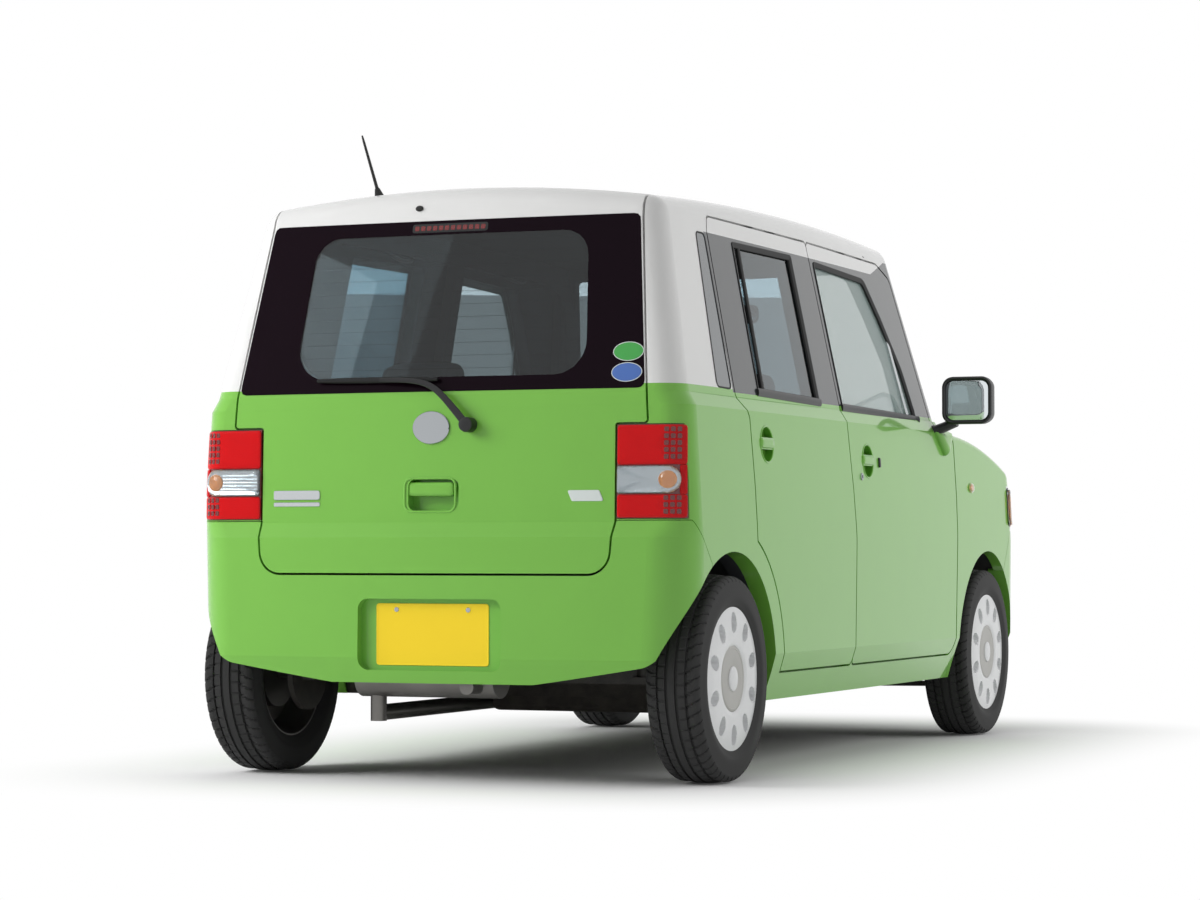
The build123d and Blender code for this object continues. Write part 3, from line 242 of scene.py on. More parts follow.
def band(outline, place, section, count):
    """A closed frame along an outline. section lists (distance inwards, height) round a closed profile."""
    loop = even(outline, count)
    edges = [(inset(loop, by), out) for by, out in section]
    return ring(np.stack([place(edge[:, 0], edge[:, 1], out + 0 * edge[:, 0]) for edge, out in edges]))


def unit(v):
    """Each vector divided by its own length."""
    return v / (np.linalg.norm(v, axis=-1, keepdims=True) + 1e-12)


def carried(path, section, up, scale=None, wrap=False):
    """A closed section carried along a path. At each point it stands across the chord between the
    neighbours, with its second axis along up. Open ends run in to the path, so they are closed."""
    path, section = np.array(path, float), np.array(section, float)
    if wrap:
        tangent = unit(np.roll(path, -1, 0) - np.roll(path, 1, 0))
    else:
        tangent = unit(np.gradient(path, axis=0))
    up = np.broadcast_to(np.array(up, float), path.shape)
    side = unit(np.cross(tangent, up))
    high = np.cross(side, tangent)
    scale = np.ones(len(path)) if scale is None else np.array(scale, float)
    across, up_part = section[None, :, :1] * side[:, None], section[None, :, 1:] * high[:, None]
    rings = path[:, None] + scale[:, None, None] * (across + up_part)
    if not wrap:
        ends = [np.broadcast_to(path[k], rings[0].shape)[None] for k in (0, -1)]
        rings = np.concatenate([ends[0], rings, ends[1]])
    return rings, quads(len(rings), len(section), wrap_rows=wrap)


def circle(radius, count, flat=1.0):
    """A round section for carried(), pressed flat along its second axis."""
    return oval(0.0, 0.0, 2 * radius, 2 * radius * flat, count)


def turned(profile, centre, count, axis="y", wobble=None):
    """A profile of (radius, distance along the axis) turned about the axis through centre.
    wobble(angle, profile) may add a radial offset, which is how tread and knurls are cut."""
    profile = np.array(profile, float)
    t = np.linspace(0, 2 * math.pi, count, endpoint=False)
    r = profile[:, :1] + (wobble(t[None, :], profile) if wobble else 0 * t[None, :])
    a, b = r * np.sin(t), r * np.cos(t)
    run = profile[:, 1:] + 0 * t
    order = {"y": (a, run, b), "x": (run, a, b), "z": (a, b, run)}[axis]
    return np.stack(order, -1) + np.array(centre, float), quads(len(profile), count)


CHANNEL_WIDTH = 0.035       # of a pad's sewn channel, as a share of its half size


def pad(centre, size, lean, power, crown, seams, pull, rows, columns):
    """A cushion: a superellipsoid, which is a box rounded by raising sines and cosines to a small power.
    crown lifts the middle, pull draws the sides in between corners, seams press grooves across the face."""
    v = np.linspace(-math.pi / 2, math.pi / 2, rows)[:, None]
    u = np.linspace(-math.pi, math.pi, columns, endpoint=False)[None, :]
    bend = lambda c: np.sign(c) * np.abs(c) ** power
    x, y, z = bend(np.cos(v)) * bend(np.cos(u)), bend(np.cos(v)) * bend(np.sin(u)), bend(np.sin(v)) + 0 * u
    x, y = x * (1 - pull * (1 - y ** 2)), y * (1 - pull * (1 - x ** 2))
    z = z * (1 + crown * (1 - x ** 2) * (1 - y ** 2))
    for along_y, place, depth in seams:
        across = (y if along_y else x) - place
        z = z - np.sign(z) * depth * np.exp(-(across / CHANNEL_WIDTH) ** 2)
    p = np.stack([x, y, z], -1) * np.array(size, float) / 2
    turn = np.array(Euler((0, lean, 0)).to_matrix())
    return p @ turn.T + np.array(centre, float), quads(rows, columns)


# ---------------------------------------------------------------- shader nodes
SPLIT_Z = 1.0555            # lower colour below, upper colour above
SASH_FOOT_Z, SASH_TOP_Z = 1.047, 1.486
SASH_REAR_X = -1.2405
# The cabin side of the panels: half width low down and at the belt, top, foot, rear and front
LINING_LOW_Y, LINING_BELT_Y = 0.683, 0.6555
LINING_TOP_Z, LINING_FOOT_Z = 1.620, 0.245
LINING_REAR_X, LINING_FRONT_X = REAR_X + 0.083, 0.78


def add(tree, kind, inputs=None, **attributes):
    """One node, with its attributes set and each of its inputs given a link or a value."""
    node = tree.nodes.new(kind)
    for key, value in attributes.items():
        setattr(node, key, value)
    for key, value in (inputs or {}).items():
        if isinstance(value, bpy.types.NodeSocket):
            tree.links.new(value, node.inputs[key])
        else:
            node.inputs[key].default_value = value
    return node


def put(tree, name, inputs):
    """Places a node group."""
    return add(tree, "ShaderNodeGroup", inputs, node_tree=bpy.data.node_groups[name]).outputs


def calc(tree, operation, a, b=0.0, c=0.0):
    """The result of one Math node."""
    return add(tree, "ShaderNodeMath", {0: a, 1: b, 2: c}, operation=operation).outputs[0]


def mixed(tree, factor, a, b):
    """Colour a, turning to colour b as the factor goes from zero to one."""
    return add(tree, "ShaderNodeMix", {0: factor, 6: a, 7: b}, data_type="RGBA").outputs[2]


def place_axes(tree):
    """Object coordinates, whole and as x, y and z."""
    coordinates = add(tree, "ShaderNodeTexCoord").outputs["Object"]
    return coordinates, add(tree, "ShaderNodeSeparateXYZ", {0: coordinates}).outputs


def group(name, inputs, outputs):
    """A new shader node group. inputs and outputs are (name, kind, default)."""
    tree = bpy.data.node_groups.new(name, "ShaderNodeTree")
    for direction, sockets in (("INPUT", inputs), ("OUTPUT", outputs)):
        for label, kind, default in sockets:
            socket = tree.interface.new_socket(label, in_out=direction, socket_type="NodeSocket" + kind)
            if default is not None:
                socket.default_value = default
    return tree, tree.nodes.new("NodeGroupInput").outputs, tree.nodes.new("NodeGroupOutput").inputs


def build_paint_zones():
    """Which finish a painted panel shows, by its place: lower colour, upper colour, sash, or cabin lining."""
    colours = [(n, "Color", (1, 1, 1, 1)) for n in ("Lower", "Upper", "Sash", "Lining")]
    tree, given, result = group("paint_zones", colours,
                                [("Color", "Color", None), ("Painted", "Float", None)])
    _, (x, y, z) = place_axes(tree)
    wide = calc(tree, "ABSOLUTE", y)
    upper = calc(tree, "GREATER_THAN", z, SPLIT_Z)
    sash_top = add(tree, "ShaderNodeMapRange", {"Value": x, 1: 0.25, 2: 0.42, 3: SASH_TOP_Z,
                                                4: SASH_TOP_Z + 0.05}).outputs[0]
    sash = calc(tree, "MULTIPLY", calc(tree, "GREATER_THAN", z, SASH_FOOT_Z),
                calc(tree, "LESS_THAN", z, sash_top))
    sash = calc(tree, "MULTIPLY", sash, calc(tree, "GREATER_THAN", x, SASH_REAR_X))
    above = calc(tree, "MAXIMUM", calc(tree, "SUBTRACT", z, BELT_Z), 0.0)
    below = calc(tree, "MAXIMUM", calc(tree, "SUBTRACT", BELT_Z, z), 0.0)
    wall = calc(tree, "MINIMUM", LINING_LOW_Y, calc(tree, "MULTIPLY_ADD", below, 0.6, LINING_BELT_Y))
    wall = calc(tree, "MULTIPLY_ADD", above, -0.1955, wall)
    back = calc(tree, "MULTIPLY_ADD", above, 0.232, LINING_REAR_X)
    bow_x = calc(tree, "MULTIPLY", calc(tree, "POWER", calc(tree, "ADD", x, 0.33), 2.0), 1 / 36)
    bow_y = calc(tree, "MULTIPLY", calc(tree, "POWER", wide, 2.0), 1 / 7.8)
    top = calc(tree, "SUBTRACT", calc(tree, "SUBTRACT", LINING_TOP_Z, bow_x), bow_y)
    inside = calc(tree, "LESS_THAN", wide, wall)
    tests = (("GREATER_THAN", x, back), ("LESS_THAN", z, top), ("LESS_THAN", x, LINING_FRONT_X),
             ("GREATER_THAN", z, LINING_FOOT_Z))
    for test, a, b in tests:
        inside = calc(tree, "MULTIPLY", inside, calc(tree, test, a, b))
    colour = mixed(tree, upper, given["Lower"], given["Upper"])
    colour = mixed(tree, sash, colour, given["Sash"])
    colour = mixed(tree, inside, colour, given["Lining"])
    tree.links.new(colour, result["Color"])
    tree.links.new(calc(tree, "SUBTRACT", 1.0, inside), result["Painted"])


def build_grain():
    """A moulded or woven surface: fine noise over coarser noise, as a height's normal and as a value."""
    inputs = [("Scale", "Float", 900.0), ("Depth", "Float", 0.2), ("Mottle", "Float", 0.1)]
    tree, given, result = group("surface_grain", inputs,
                                [("Normal", "Vector", None), ("Value", "Float", None)])
    coordinates, _ = place_axes(tree)
    fine = add(tree, "ShaderNodeTexNoise", {"Vector": coordinates, "Scale": given["Scale"], "Detail": 4.0})
    coarse = add(tree, "ShaderNodeTexNoise", {"Vector": coordinates, "Scale": 7.0, "Detail": 3.0})
    bump = add(tree, "ShaderNodeBump", {"Strength": given["Depth"], "Distance": 0.001,
                                        "Height": fine.outputs[0]})
    swing = calc(tree, "MULTIPLY", calc(tree, "SUBTRACT", coarse.outputs[0], 0.5), given["Mottle"])
    tree.links.new(bump.outputs[0], result["Normal"])
    tree.links.new(calc(tree, "ADD", 1.0, calc(tree, "MULTIPLY", swing, 2.0)), result["Value"])


def build_road_dust():
    """Dust that thins out with height above the road, broken up by noise. Gives a mask."""
    inputs = [("Top", "Float", 0.35), ("Amount", "Float", 0.3)]
    tree, given, result = group("road_dust", inputs, [("Mask", "Float", None)])
    coordinates, (_, _, z) = place_axes(tree)
    noise = add(tree, "ShaderNodeTexNoise", {"Vector": coordinates, "Scale": 22.0, "Detail": 5.0}).outputs[0]
    fall = calc(tree, "MAXIMUM", calc(tree, "SUBTRACT", 1.0, calc(tree, "DIVIDE", z, given["Top"])), 0.0)
    mask = calc(tree, "MULTIPLY", calc(tree, "MULTIPLY", fall, noise), given["Amount"])
    tree.links.new(mask, result["Mask"])


def build_weave():
    """Cloth threads from two crossed waves at a slant, as a value and a normal."""
    inputs = [("Scale", "Float", 420.0), ("Depth", "Float", 0.4)]
    tree, given, result = group("cloth_weave", inputs, [("Value", "Float", None), ("Normal", "Vector", None)])
    coordinates, _ = place_axes(tree)
    waves = [
        add(tree, "ShaderNodeTexWave", {"Vector": coordinates, "Scale": given["Scale"]},
            bands_direction=axis).outputs[1]
        for axis in ("Y", "DIAGONAL")
    ]
    height = calc(tree, "MULTIPLY", *waves)
    bump = add(tree, "ShaderNodeBump", {"Strength": given["Depth"], "Distance": 0.0008, "Height": height})
    tree.links.new(calc(tree, "MULTIPLY_ADD", height, 0.5, 0.75), result["Value"])
    tree.links.new(bump.outputs[0], result["Normal"])


def build_facets():
    """A square grid of pillow-like facets, as a normal."""
    inputs = [("Pitch", "Float", 150.0), ("Depth", "Float", 0.3)]
    tree, given, result = group("pressed_facets", inputs, [("Normal", "Vector", None)])
    coordinates, _ = place_axes(tree)
    cells = add(tree, "ShaderNodeTexVoronoi", {"Vector": coordinates, "Scale": given["Pitch"],
                                               "Randomness": 0.0},
                distance="CHEBYCHEV")
    bump = add(tree, "ShaderNodeBump", {"Strength": given["Depth"], "Distance": 0.002,
                                        "Height": cells.outputs["Distance"]})
    tree.links.new(bump.outputs[0], result["Normal"])


# ---------------------------------------------------------------- materials
def rgb(code):
    """Linear colour of a six-digit sRGB code."""
    levels = [int(code[k:k + 2], 16) / 255 for k in (0, 2, 4)]
    return tuple(v / 12.92 if v <= 0.04045 else ((v + 0.055) / 1.055) ** 2.4 for v in levels) + (1.0,)


def surface(name, **values):
    """A material with one Principled shader, whose plain values are set on its own sockets."""
    material = bpy.data.materials.new(name)
    material.use_nodes = True
    shader = material.node_tree.nodes["Principled BSDF"]
    for key, value in values.items():
        shader.inputs[key.replace("_", " ")].default_value = value
    return material.node_tree, shader


def tint(tree, shader, colour, value):
    """Gives the shader a colour times a value that changes over the surface."""
    node = add(tree, "ShaderNodeVectorMath", {0: colour, 1: value}, operation="MULTIPLY")
    tree.links.new(node.outputs[0], shader.inputs["Base Color"])


def grained(name, colour, scale, depth, mottle=0.08, **values):
    """A plain material with grain: the grain's normal, and its slow mottle on the colour."""
    tree, shader = surface(name, **values)
    grain = put(tree, "surface_grain", {"Scale": scale, "Depth": depth, "Mottle": mottle})
    tree.links.new(grain["Normal"], shader.inputs["Normal"])
    tint(tree, shader, colour[:3], grain["Value"])
    return tree, shader


def dusty(tree, shader, top, amount, dust=(0.24, 0.21, 0.17, 1.0)):
    """Lays road dust over what the shader's base colour already gets."""
    source = shader.inputs["Base Color"].links[0].from_socket
    mask = put(tree, "road_dust", {"Top": top, "Amount": amount})["Mask"]
    tree.links.new(mixed(tree, mask, source, dust), shader.inputs["Base Color"])


def paint(name, settings):
    """Clear-coated paint in the zones of the body, with a light mottle and orange peel."""
    tree, shader = surface(name, Coat_Roughness=0.05, Coat_IOR=1.36, Specular_IOR_Level=0.15)
    colours = {"Lower": (*settings.lower_colour, 1), "Upper": (*settings.upper_colour, 1),
               "Sash": (*settings.sash_colour, 1), "Lining": (*settings.lining_colour, 1)}
    zones = put(tree, "paint_zones", colours)
    grain = put(tree, "surface_grain", {"Scale": 160.0, "Depth": 0.012, "Mottle": 0.03})
    tint(tree, shader, zones["Color"], grain["Value"])
    tree.links.new(grain["Normal"], shader.inputs["Normal"])
    tree.links.new(zones["Painted"], shader.inputs["Coat Weight"])
    rough = add(tree, "ShaderNodeMapRange", {"Value": zones["Painted"], 1: 0.0, 2: 1.0, 3: 0.75, 4: 0.38})
    tree.links.new(rough.outputs[0], shader.inputs["Roughness"])


def glass(name, colour, **values):
    """Tinted glass with a faint unevenness in its tint, thin enough not to bend what is seen through it."""
    tree, shader = surface(name, Transmission_Weight=1.0, IOR=1.45, Roughness=0.0, **values)
    grain = put(tree, "surface_grain", {"Scale": 3.0, "Depth": 0.0, "Mottle": 0.03})
    tint(tree, shader, colour[:3], grain["Value"])


def lens(name, colour, pitch, depth, **values):
    """A lamp lens or reflector: clear-coated plastic with a grid of facets pressed into it."""
    tree, shader = surface(name, Base_Color=colour, Coat_Roughness=0.02, Roughness=0.12, **values)
    facets = put(tree, "pressed_facets", {"Pitch": pitch, "Depth": depth})
    tree.links.new(facets["Normal"], shader.inputs["Normal"])


def build_finishes(settings):
    """Every material, made once and kept by name."""
    paint("car_paint", settings)
    glass("clear_glass", rgb("C4E2DC"))
    glass("privacy_glass", rgb("6F8791"))
    glass("rear_glass", rgb("7A8A90"), Specular_IOR_Level=0.25)
    grained("quarter_black", rgb("27333B"), 60, 0.0, Coat_Weight=0.8, Coat_Roughness=0.02, Roughness=0.2)
    grained("ceramic_black", rgb("12060F"), 40, 0.0, Roughness=0.2, Specular_IOR_Level=0.06)
    for name, code, scale, depth, rough in (
        ("black_plastic", "1A1B1D", 1400, 0.25, 0.55), ("satin_black", "101113", 700, 0.05, 0.38),
        ("seal_rubber", "0C0D0E", 900, 0.10, 0.62), ("trim_plastic", "3A3C40", 1600, 0.35, 0.6),
        ("carpet", "1D1E20", 300, 0.9, 0.95),
    ):
        grained(name, rgb(code), scale, depth, Roughness=rough)
    for name, code, rough, top in (("underseal", "141414", 0.8, 0.6), ("running_black", "191A1B", 0.5, 0.5)):
        dusty(*grained(name, rgb(code), 500, 0.6, 0.2, Roughness=rough), top, 0.5)
    dusty(*grained("tyre_rubber", rgb("0D0D0E"), 1100, 0.3, 0.12, Roughness=0.75, Specular_IOR_Level=0.05),
          0.30, 0.08)
    grained("cast_metal", rgb("8D8F92"), 260, 0.4, 0.15, Metallic=0.9, Roughness=0.5)
    grained("dull_steel", rgb("7C7A77"), 120, 0.15, 0.35, Metallic=0.9, Roughness=0.42)
    grained("bright_metal", rgb("A9ADB0"), 90, 0.02, 0.05, Metallic=1.0, Roughness=0.14)
    grained("cover_silver", rgb("D7DADC"), 700, 0.02, 0.04, Metallic=0.25, Roughness=0.32, Coat_Weight=0.8,
            Coat_Roughness=0.08)
    grained("cover_grey", rgb("B3B2AE"), 500, 0.08, 0.05, Metallic=0.3, Roughness=0.45)
    grained("plate_yellow", (*settings.plate_colour, 1), 200, 0.04, 0.04, Roughness=0.38, Coat_Weight=0.1,
            Specular_IOR_Level=0.2)
    grained("badge_silver", rgb("C3C7C9"), 200, 0.04, 0.06, Metallic=0.85, Roughness=0.22, Coat_Weight=0.5)
    for name, code, mottle in (("label_green", "2E9E3A", 0.10), ("label_blue", "3765B4", 0.10),
                               ("label_pale", "D5DDDB", 0.08)):
        grained(name, rgb(code), 200, 0.02, mottle, Roughness=0.3, Coat_Weight=0.6)
    grained("mirror_silver", rgb("DDE3E6"), 20, 0.005, 0.02, Metallic=1.0, Roughness=0.03)
    lens("lamp_red", rgb("CE020A"), 210.0, 0.25, Specular_IOR_Level=0.1, Coat_Weight=0.15)
    lens("lamp_dark_red", rgb("6E070B"), 150.0, 0.9, Coat_Weight=0.5)
    lens("lamp_clear", rgb("E8EDEF"), 120.0, 0.10, Coat_Weight=1.0, Transmission_Weight=1.0, IOR=1.45)
    lens("lamp_silver", rgb("B4B8BB"), 110.0, 0.8, Coat_Weight=0.6, Metallic=0.9)
    lens("lamp_amber", rgb("E08A2C"), 200.0, 0.2, Coat_Weight=0.6)
    for name, code, depth in (("seat_cloth", "33363B", 0.5), ("seat_side", "26282B", 0.3)):
        tree, shader = surface(name, Roughness=0.9, Sheen_Weight=0.25, Sheen_Roughness=0.5)
        threads = put(tree, "cloth_weave", {"Scale": 380.0, "Depth": depth})
        tint(tree, shader, rgb(code)[:3], threads["Value"])
        tree.links.new(threads["Normal"], shader.inputs["Normal"])


NODE_FINISHES = {
    "windscreen": "clear_glass", "tailgate_glass": "rear_glass", "quarter_glasses": "quarter_black",
    "cowl": "black_plastic", "front_grille": "black_plastic", "dashboard": "trim_plastic",
    "floor_pan": "underseal", "radiator_panel": "underseal", "fuel_tank": "underseal",
    "front_suspension": "running_black", "rear_axle": "running_black", "load_board": "carpet",
    "engine": "cast_metal", "exhaust": "dull_steel", "headlamps": "lamp_silver",
    "tail_lamps": "lamp_dark_red",
}
PAINTED = ("roof", "bonnet", "tailgate", "fuel_flap", "rear_bumper", "front_bumper",
           "body_side_{}", "front_fender_{}", "front_door_{}", "rear_door_{}")
for stem, coat in (("front_door_glass_{}", "clear_glass"), ("rear_door_glass_{}", "privacy_glass"),
                   ("knuckle_{}", "cast_metal"), ("front_wheelhouse_{}", "underseal")):
    NODE_FINISHES.update({stem.format(side): coat for side in SIDES})
for stem in PAINTED:
    NODE_FINISHES.update({stem.format(side): "car_paint" for side in SIDES})


class KEI_OT_paint(bpy.types.Operator):
    """Build every finish and give the fixed panels, glass and running gear theirs"""
    bl_idname = "kei.paint"
    bl_label = "Paint and Finishes"

    def execute(self, context):
        for build in (build_paint_zones, build_grain, build_road_dust, build_weave, build_facets):
            build()
        build_finishes(context.scene.kei_car)
        for node, coat in NODE_FINISHES.items():
            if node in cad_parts:
                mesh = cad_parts[node].data
                mesh.materials.clear()
                mesh.materials.append(bpy.data.materials[coat])
        return {"FINISHED"}


# ---------------------------------------------------------------- wheels
WHEEL_OUT = 0.069           # the cover's edge, out from the wheel's middle
BEAD_GAP = 0.0006           # between the tyre's bead and the rim


def wheel_middle(end, side):
    """The middle of a tyre's box."""
    low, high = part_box(f"{end}_tyre_{side}")
    return (low + high) / 2


def tyre_profile(settings):
    """Half section mirrored: bead, sidewall that bulges by a sine, shoulder arc, tread with four grooves."""
    half, bead, shoulder_r = TYRE_W / 2 - 0.0008, RIM_R + BEAD_GAP, TYRE_R - 0.022
    wall = np.linspace(0, 1, 15)
    r = bead + wall * (shoulder_r - bead)
    w = half - 0.016 * (1 - np.sin(np.minimum(wall / 0.55, 1) * math.pi / 2))
    w = w - 0.003 * np.maximum(wall - 0.6, 0) / 0.4
    for place in (0.30, 0.36, 0.82):
        w = w - 0.0012 * np.exp(-((wall - place) / 0.02) ** 2)
    t = np.linspace(0.1, 1, 7) * math.pi / 2
    shoulder = np.stack([shoulder_r + 0.018 * np.sin(t), half - 0.003 - 0.020 * (1 - np.cos(t))], -1)
    depth, lip = settings.tread_depth, 0.0008
    edges = []
    for middle, wide in ((0.040, 0.0035), (0.0135, 0.0042)):
        edges += [(middle + wide, 0), (middle + wide - lip, depth), (middle - wide + lip, depth),
                  (middle - wide, 0)]
    tread = [(TYRE_R - 60 * w0 ** 3 - cut * (w0 < 0.05), w0) for w0, cut in edges]
    side = np.concatenate([np.stack([r, w], -1), shoulder, tread])
    return np.concatenate([side, side[::-1] * (1, -1)])


def cut_tread(settings, lean):
    """Slanted cross cuts: a groove where the angle, sheared by the place across the tread, meets a pitch."""
    def wobble(angle, profile):
        r, w = profile[:, :1], profile[:, 1:]
        pitch = 2 * math.pi / settings.tread_pitches
        phase = (angle + lean * 2.2 * w * np.sign(w) + 0.4 * pitch * (w > 0)) % pitch / pitch
        outer = (np.abs(w) > 0.019) * (np.abs(w) < TYRE_W / 2 - 0.004)
        groove = (phase < 0.16) * (r > TYRE_R - 0.016) * outer
        return -settings.tread_depth * 0.8 * groove
    return wobble


class KEI_OT_tyres(bpy.types.Operator):
    """Model four road tyres with grooved treads"""
    bl_idname = "kei.tyres"
    bl_label = "Tyres"

    def execute(self, context):
        settings = context.scene.kei_car
        for end in ENDS:
            for side, sign in SIDES.items():
                grid, _ = turned(tyre_profile(settings), wheel_middle(end, side),
                                 count=settings.tread_pitches * 12, wobble=cut_tread(settings, sign))
                piece(f"tyre_{end}_{side}", [ring(grid)], "tyre_rubber", f"{end}_wheel_{side}", sharp=28,
                      replaces=[f"{end}_tyre_{side}"])
        return {"FINISHED"}


COVER_R = 0.194
SCOOP_R, SCOOP_HALF = 0.150, (0.0185, 0.027)    # middle of a scooped hole, and its half sizes


def cover_grid(settings, sign, centre):
    """A domed disc on a polar grid. Each hole is a scoop: the depth falls off inside an ellipse whose
    middle lies on a ring, and deepens towards the rim."""
    radius = np.concatenate([np.linspace(0.0885, 0.191, 44), [0.1925, 0.1935, 0.1935, 0.190]])[:, None]
    angle = np.linspace(0, 2 * math.pi, 480, endpoint=False)[None, :]
    dome = WHEEL_OUT + 0.0045 * np.sin(np.clip((COVER_R - radius) / 0.05, 0, 1) * math.pi / 2)
    dome = dome - 0.0035 * np.clip((0.105 - radius) / 0.0165, 0, 1) ** 2
    pitch = 2 * math.pi / settings.cover_holes
    off = ((angle + pitch / 2) % pitch - pitch / 2) * radius
    reach = np.sqrt((off / SCOOP_HALF[0]) ** 2 + ((radius - SCOOP_R) / SCOOP_HALF[1]) ** 2)
    inside = np.clip((1 - reach) / 0.16, 0, 1)
    out = dome - (inside * inside * (3 - 2 * inside)) * (0.024 + 0.25 * (radius - SCOOP_R))
    out = out + 0.0012 * np.exp(-((reach - 1.08) / 0.07) ** 2)
    out[-2:], out[-1] = WHEEL_OUT - 0.001, 0.045
    r = radius + 0 * angle
    return np.stack([r * np.sin(angle), sign * out + 0 * r, r * np.cos(angle)], -1) + np.array(centre)


# Profiles of (radius, distance outwards from the wheel's middle)
COVER_BACK = [(0.190, 0.045), (0.150, 0.040), (0.0885, 0.044)]
COVER_CENTRE = [(0.0, 0.058), (0.0884, 0.058), (0.0884, 0.0690), (0.086, 0.0708), (0.080, 0.0712),
                (0.079, 0.0704), (0.040, 0.0716), (0.037, 0.0706), (0.0, 0.0706)]
COVER_CAP = [(0.0, 0.060), (0.0335, 0.060), (0.0335, 0.0715), (0.032, 0.0735), (0.026, 0.0752),
             (0.012, 0.0762), (0.0, 0.0765)]
STEEL_RIM = [(RIM_R, -0.057), (RIM_R + 0.010, -0.058), (RIM_R + 0.010, -0.061), (RIM_R - 0.004, -0.061),
             (RIM_R - 0.006, -0.050), (0.152, -0.020), (0.150, 0.012), (0.146, 0.020), (0.100, 0.024),
             (0.060, 0.030), (0.030, 0.030), (0.030, 0.034), (0.062, 0.035), (0.104, 0.030),
             (0.150, 0.027), (0.156, 0.016), (0.158, -0.016), (0.168, 0.020), (RIM_R - 0.004, 0.050),
             (RIM_R, 0.057)]
BRAKE_DRUM = [(0.0, 0.022), (0.095, 0.022), (0.098, 0.018), (0.098, -0.018), (0.060, -0.020),
              (0.0, -0.020)]


class KEI_OT_wheel_covers(bpy.types.Operator):
    """Model four wheel covers with a ring of scooped holes, a grey centre and a plain cap, on steel rims"""
    bl_idname = "kei.wheel_covers"
    bl_label = "Wheel Covers"

    def execute(self, context):
        settings = context.scene.kei_car
        for end in ENDS:
            for side, sign in SIDES.items():
                centre, body = wheel_middle(end, side), f"{end}_wheel_{side}"

                def spun(profile, count=96):
                    """A profile turned about this wheel's axle, facing out from the car."""
                    return turned([(r, sign * w) for r, w in profile], centre, count=count)

                face = cover_grid(settings, sign, centre)
                grid = np.concatenate([face, spun(COVER_BACK, face.shape[1])[0]])
                piece(f"wheel_cover_{end}_{side}", [ring(grid)], "cover_silver", body, sharp=40,
                      replaces=[f"{end}_wheel_{side}"])
                piece(f"wheel_centre_{end}_{side}", [spun(COVER_CENTRE)], "cover_grey", body)
                piece(f"wheel_cap_{end}_{side}", [spun(COVER_CAP)], "cover_silver", body)
                piece(f"wheel_rim_{end}_{side}", [ring(spun(STEEL_RIM)[0]), spun(BRAKE_DRUM, 64)],
                      "dull_steel", body)
        return {"FINISHED"}


# ---------------------------------------------------------------- tail lamps
LAMP_Y = 0.523              # the inner edge of a tail lamp
LAMP_LOW_Z, LAMP_HIGH_Z = 0.705, 0.947
LAMP_SIDE_X = REAR_X + 0.10


def corner_point(run, z, out):
    """A point on the rear corner at height z: along the rear face, round the corner's arc, along the side.
    run is the distance from the tailgate's edge, and out the height above the skin."""
    radius = at_level(z, CORNER_R)
    bend_y = side_y(LAMP_SIDE_X, z) - radius
    bend_x = rear_x(bend_y, z) + radius
    straight = bend_y - LAMP_Y
    arc = radius * math.pi / 2
    turn = np.clip((run - straight) / arc, 0, 1) * math.pi / 2
    after = np.maximum(run - straight - arc, 0)
    flat = np.where(run < straight, rear_x(LAMP_Y + run, z) - rear_x(bend_y, z), 0)
    x = bend_x - (radius + out) * np.cos(turn) + after + flat
    y = bend_y + (radius + out) * np.sin(turn) + np.minimum(run - straight, 0)
    return np.stack([x, y, z + 0 * run], -1)


def on_corner(sign):
    """Maps (distance round the corner, height, height above the skin) to space."""
    return lambda u, v, out: corner_point(u, v, out) * np.array([1, sign, 1])


def lamp_reach():
    """How far the lamp runs round the corner at mid height."""
    z = (LAMP_LOW_Z + LAMP_HIGH_Z) / 2
    radius = at_level(z, CORNER_R)
    bend_y = side_y(LAMP_SIDE_X, z) - radius
    bend_x = rear_x(bend_y, z) + radius
    return bend_y - LAMP_Y + radius * math.pi / 2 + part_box("tail_lamps")[1].x - 0.0035 - bend_x


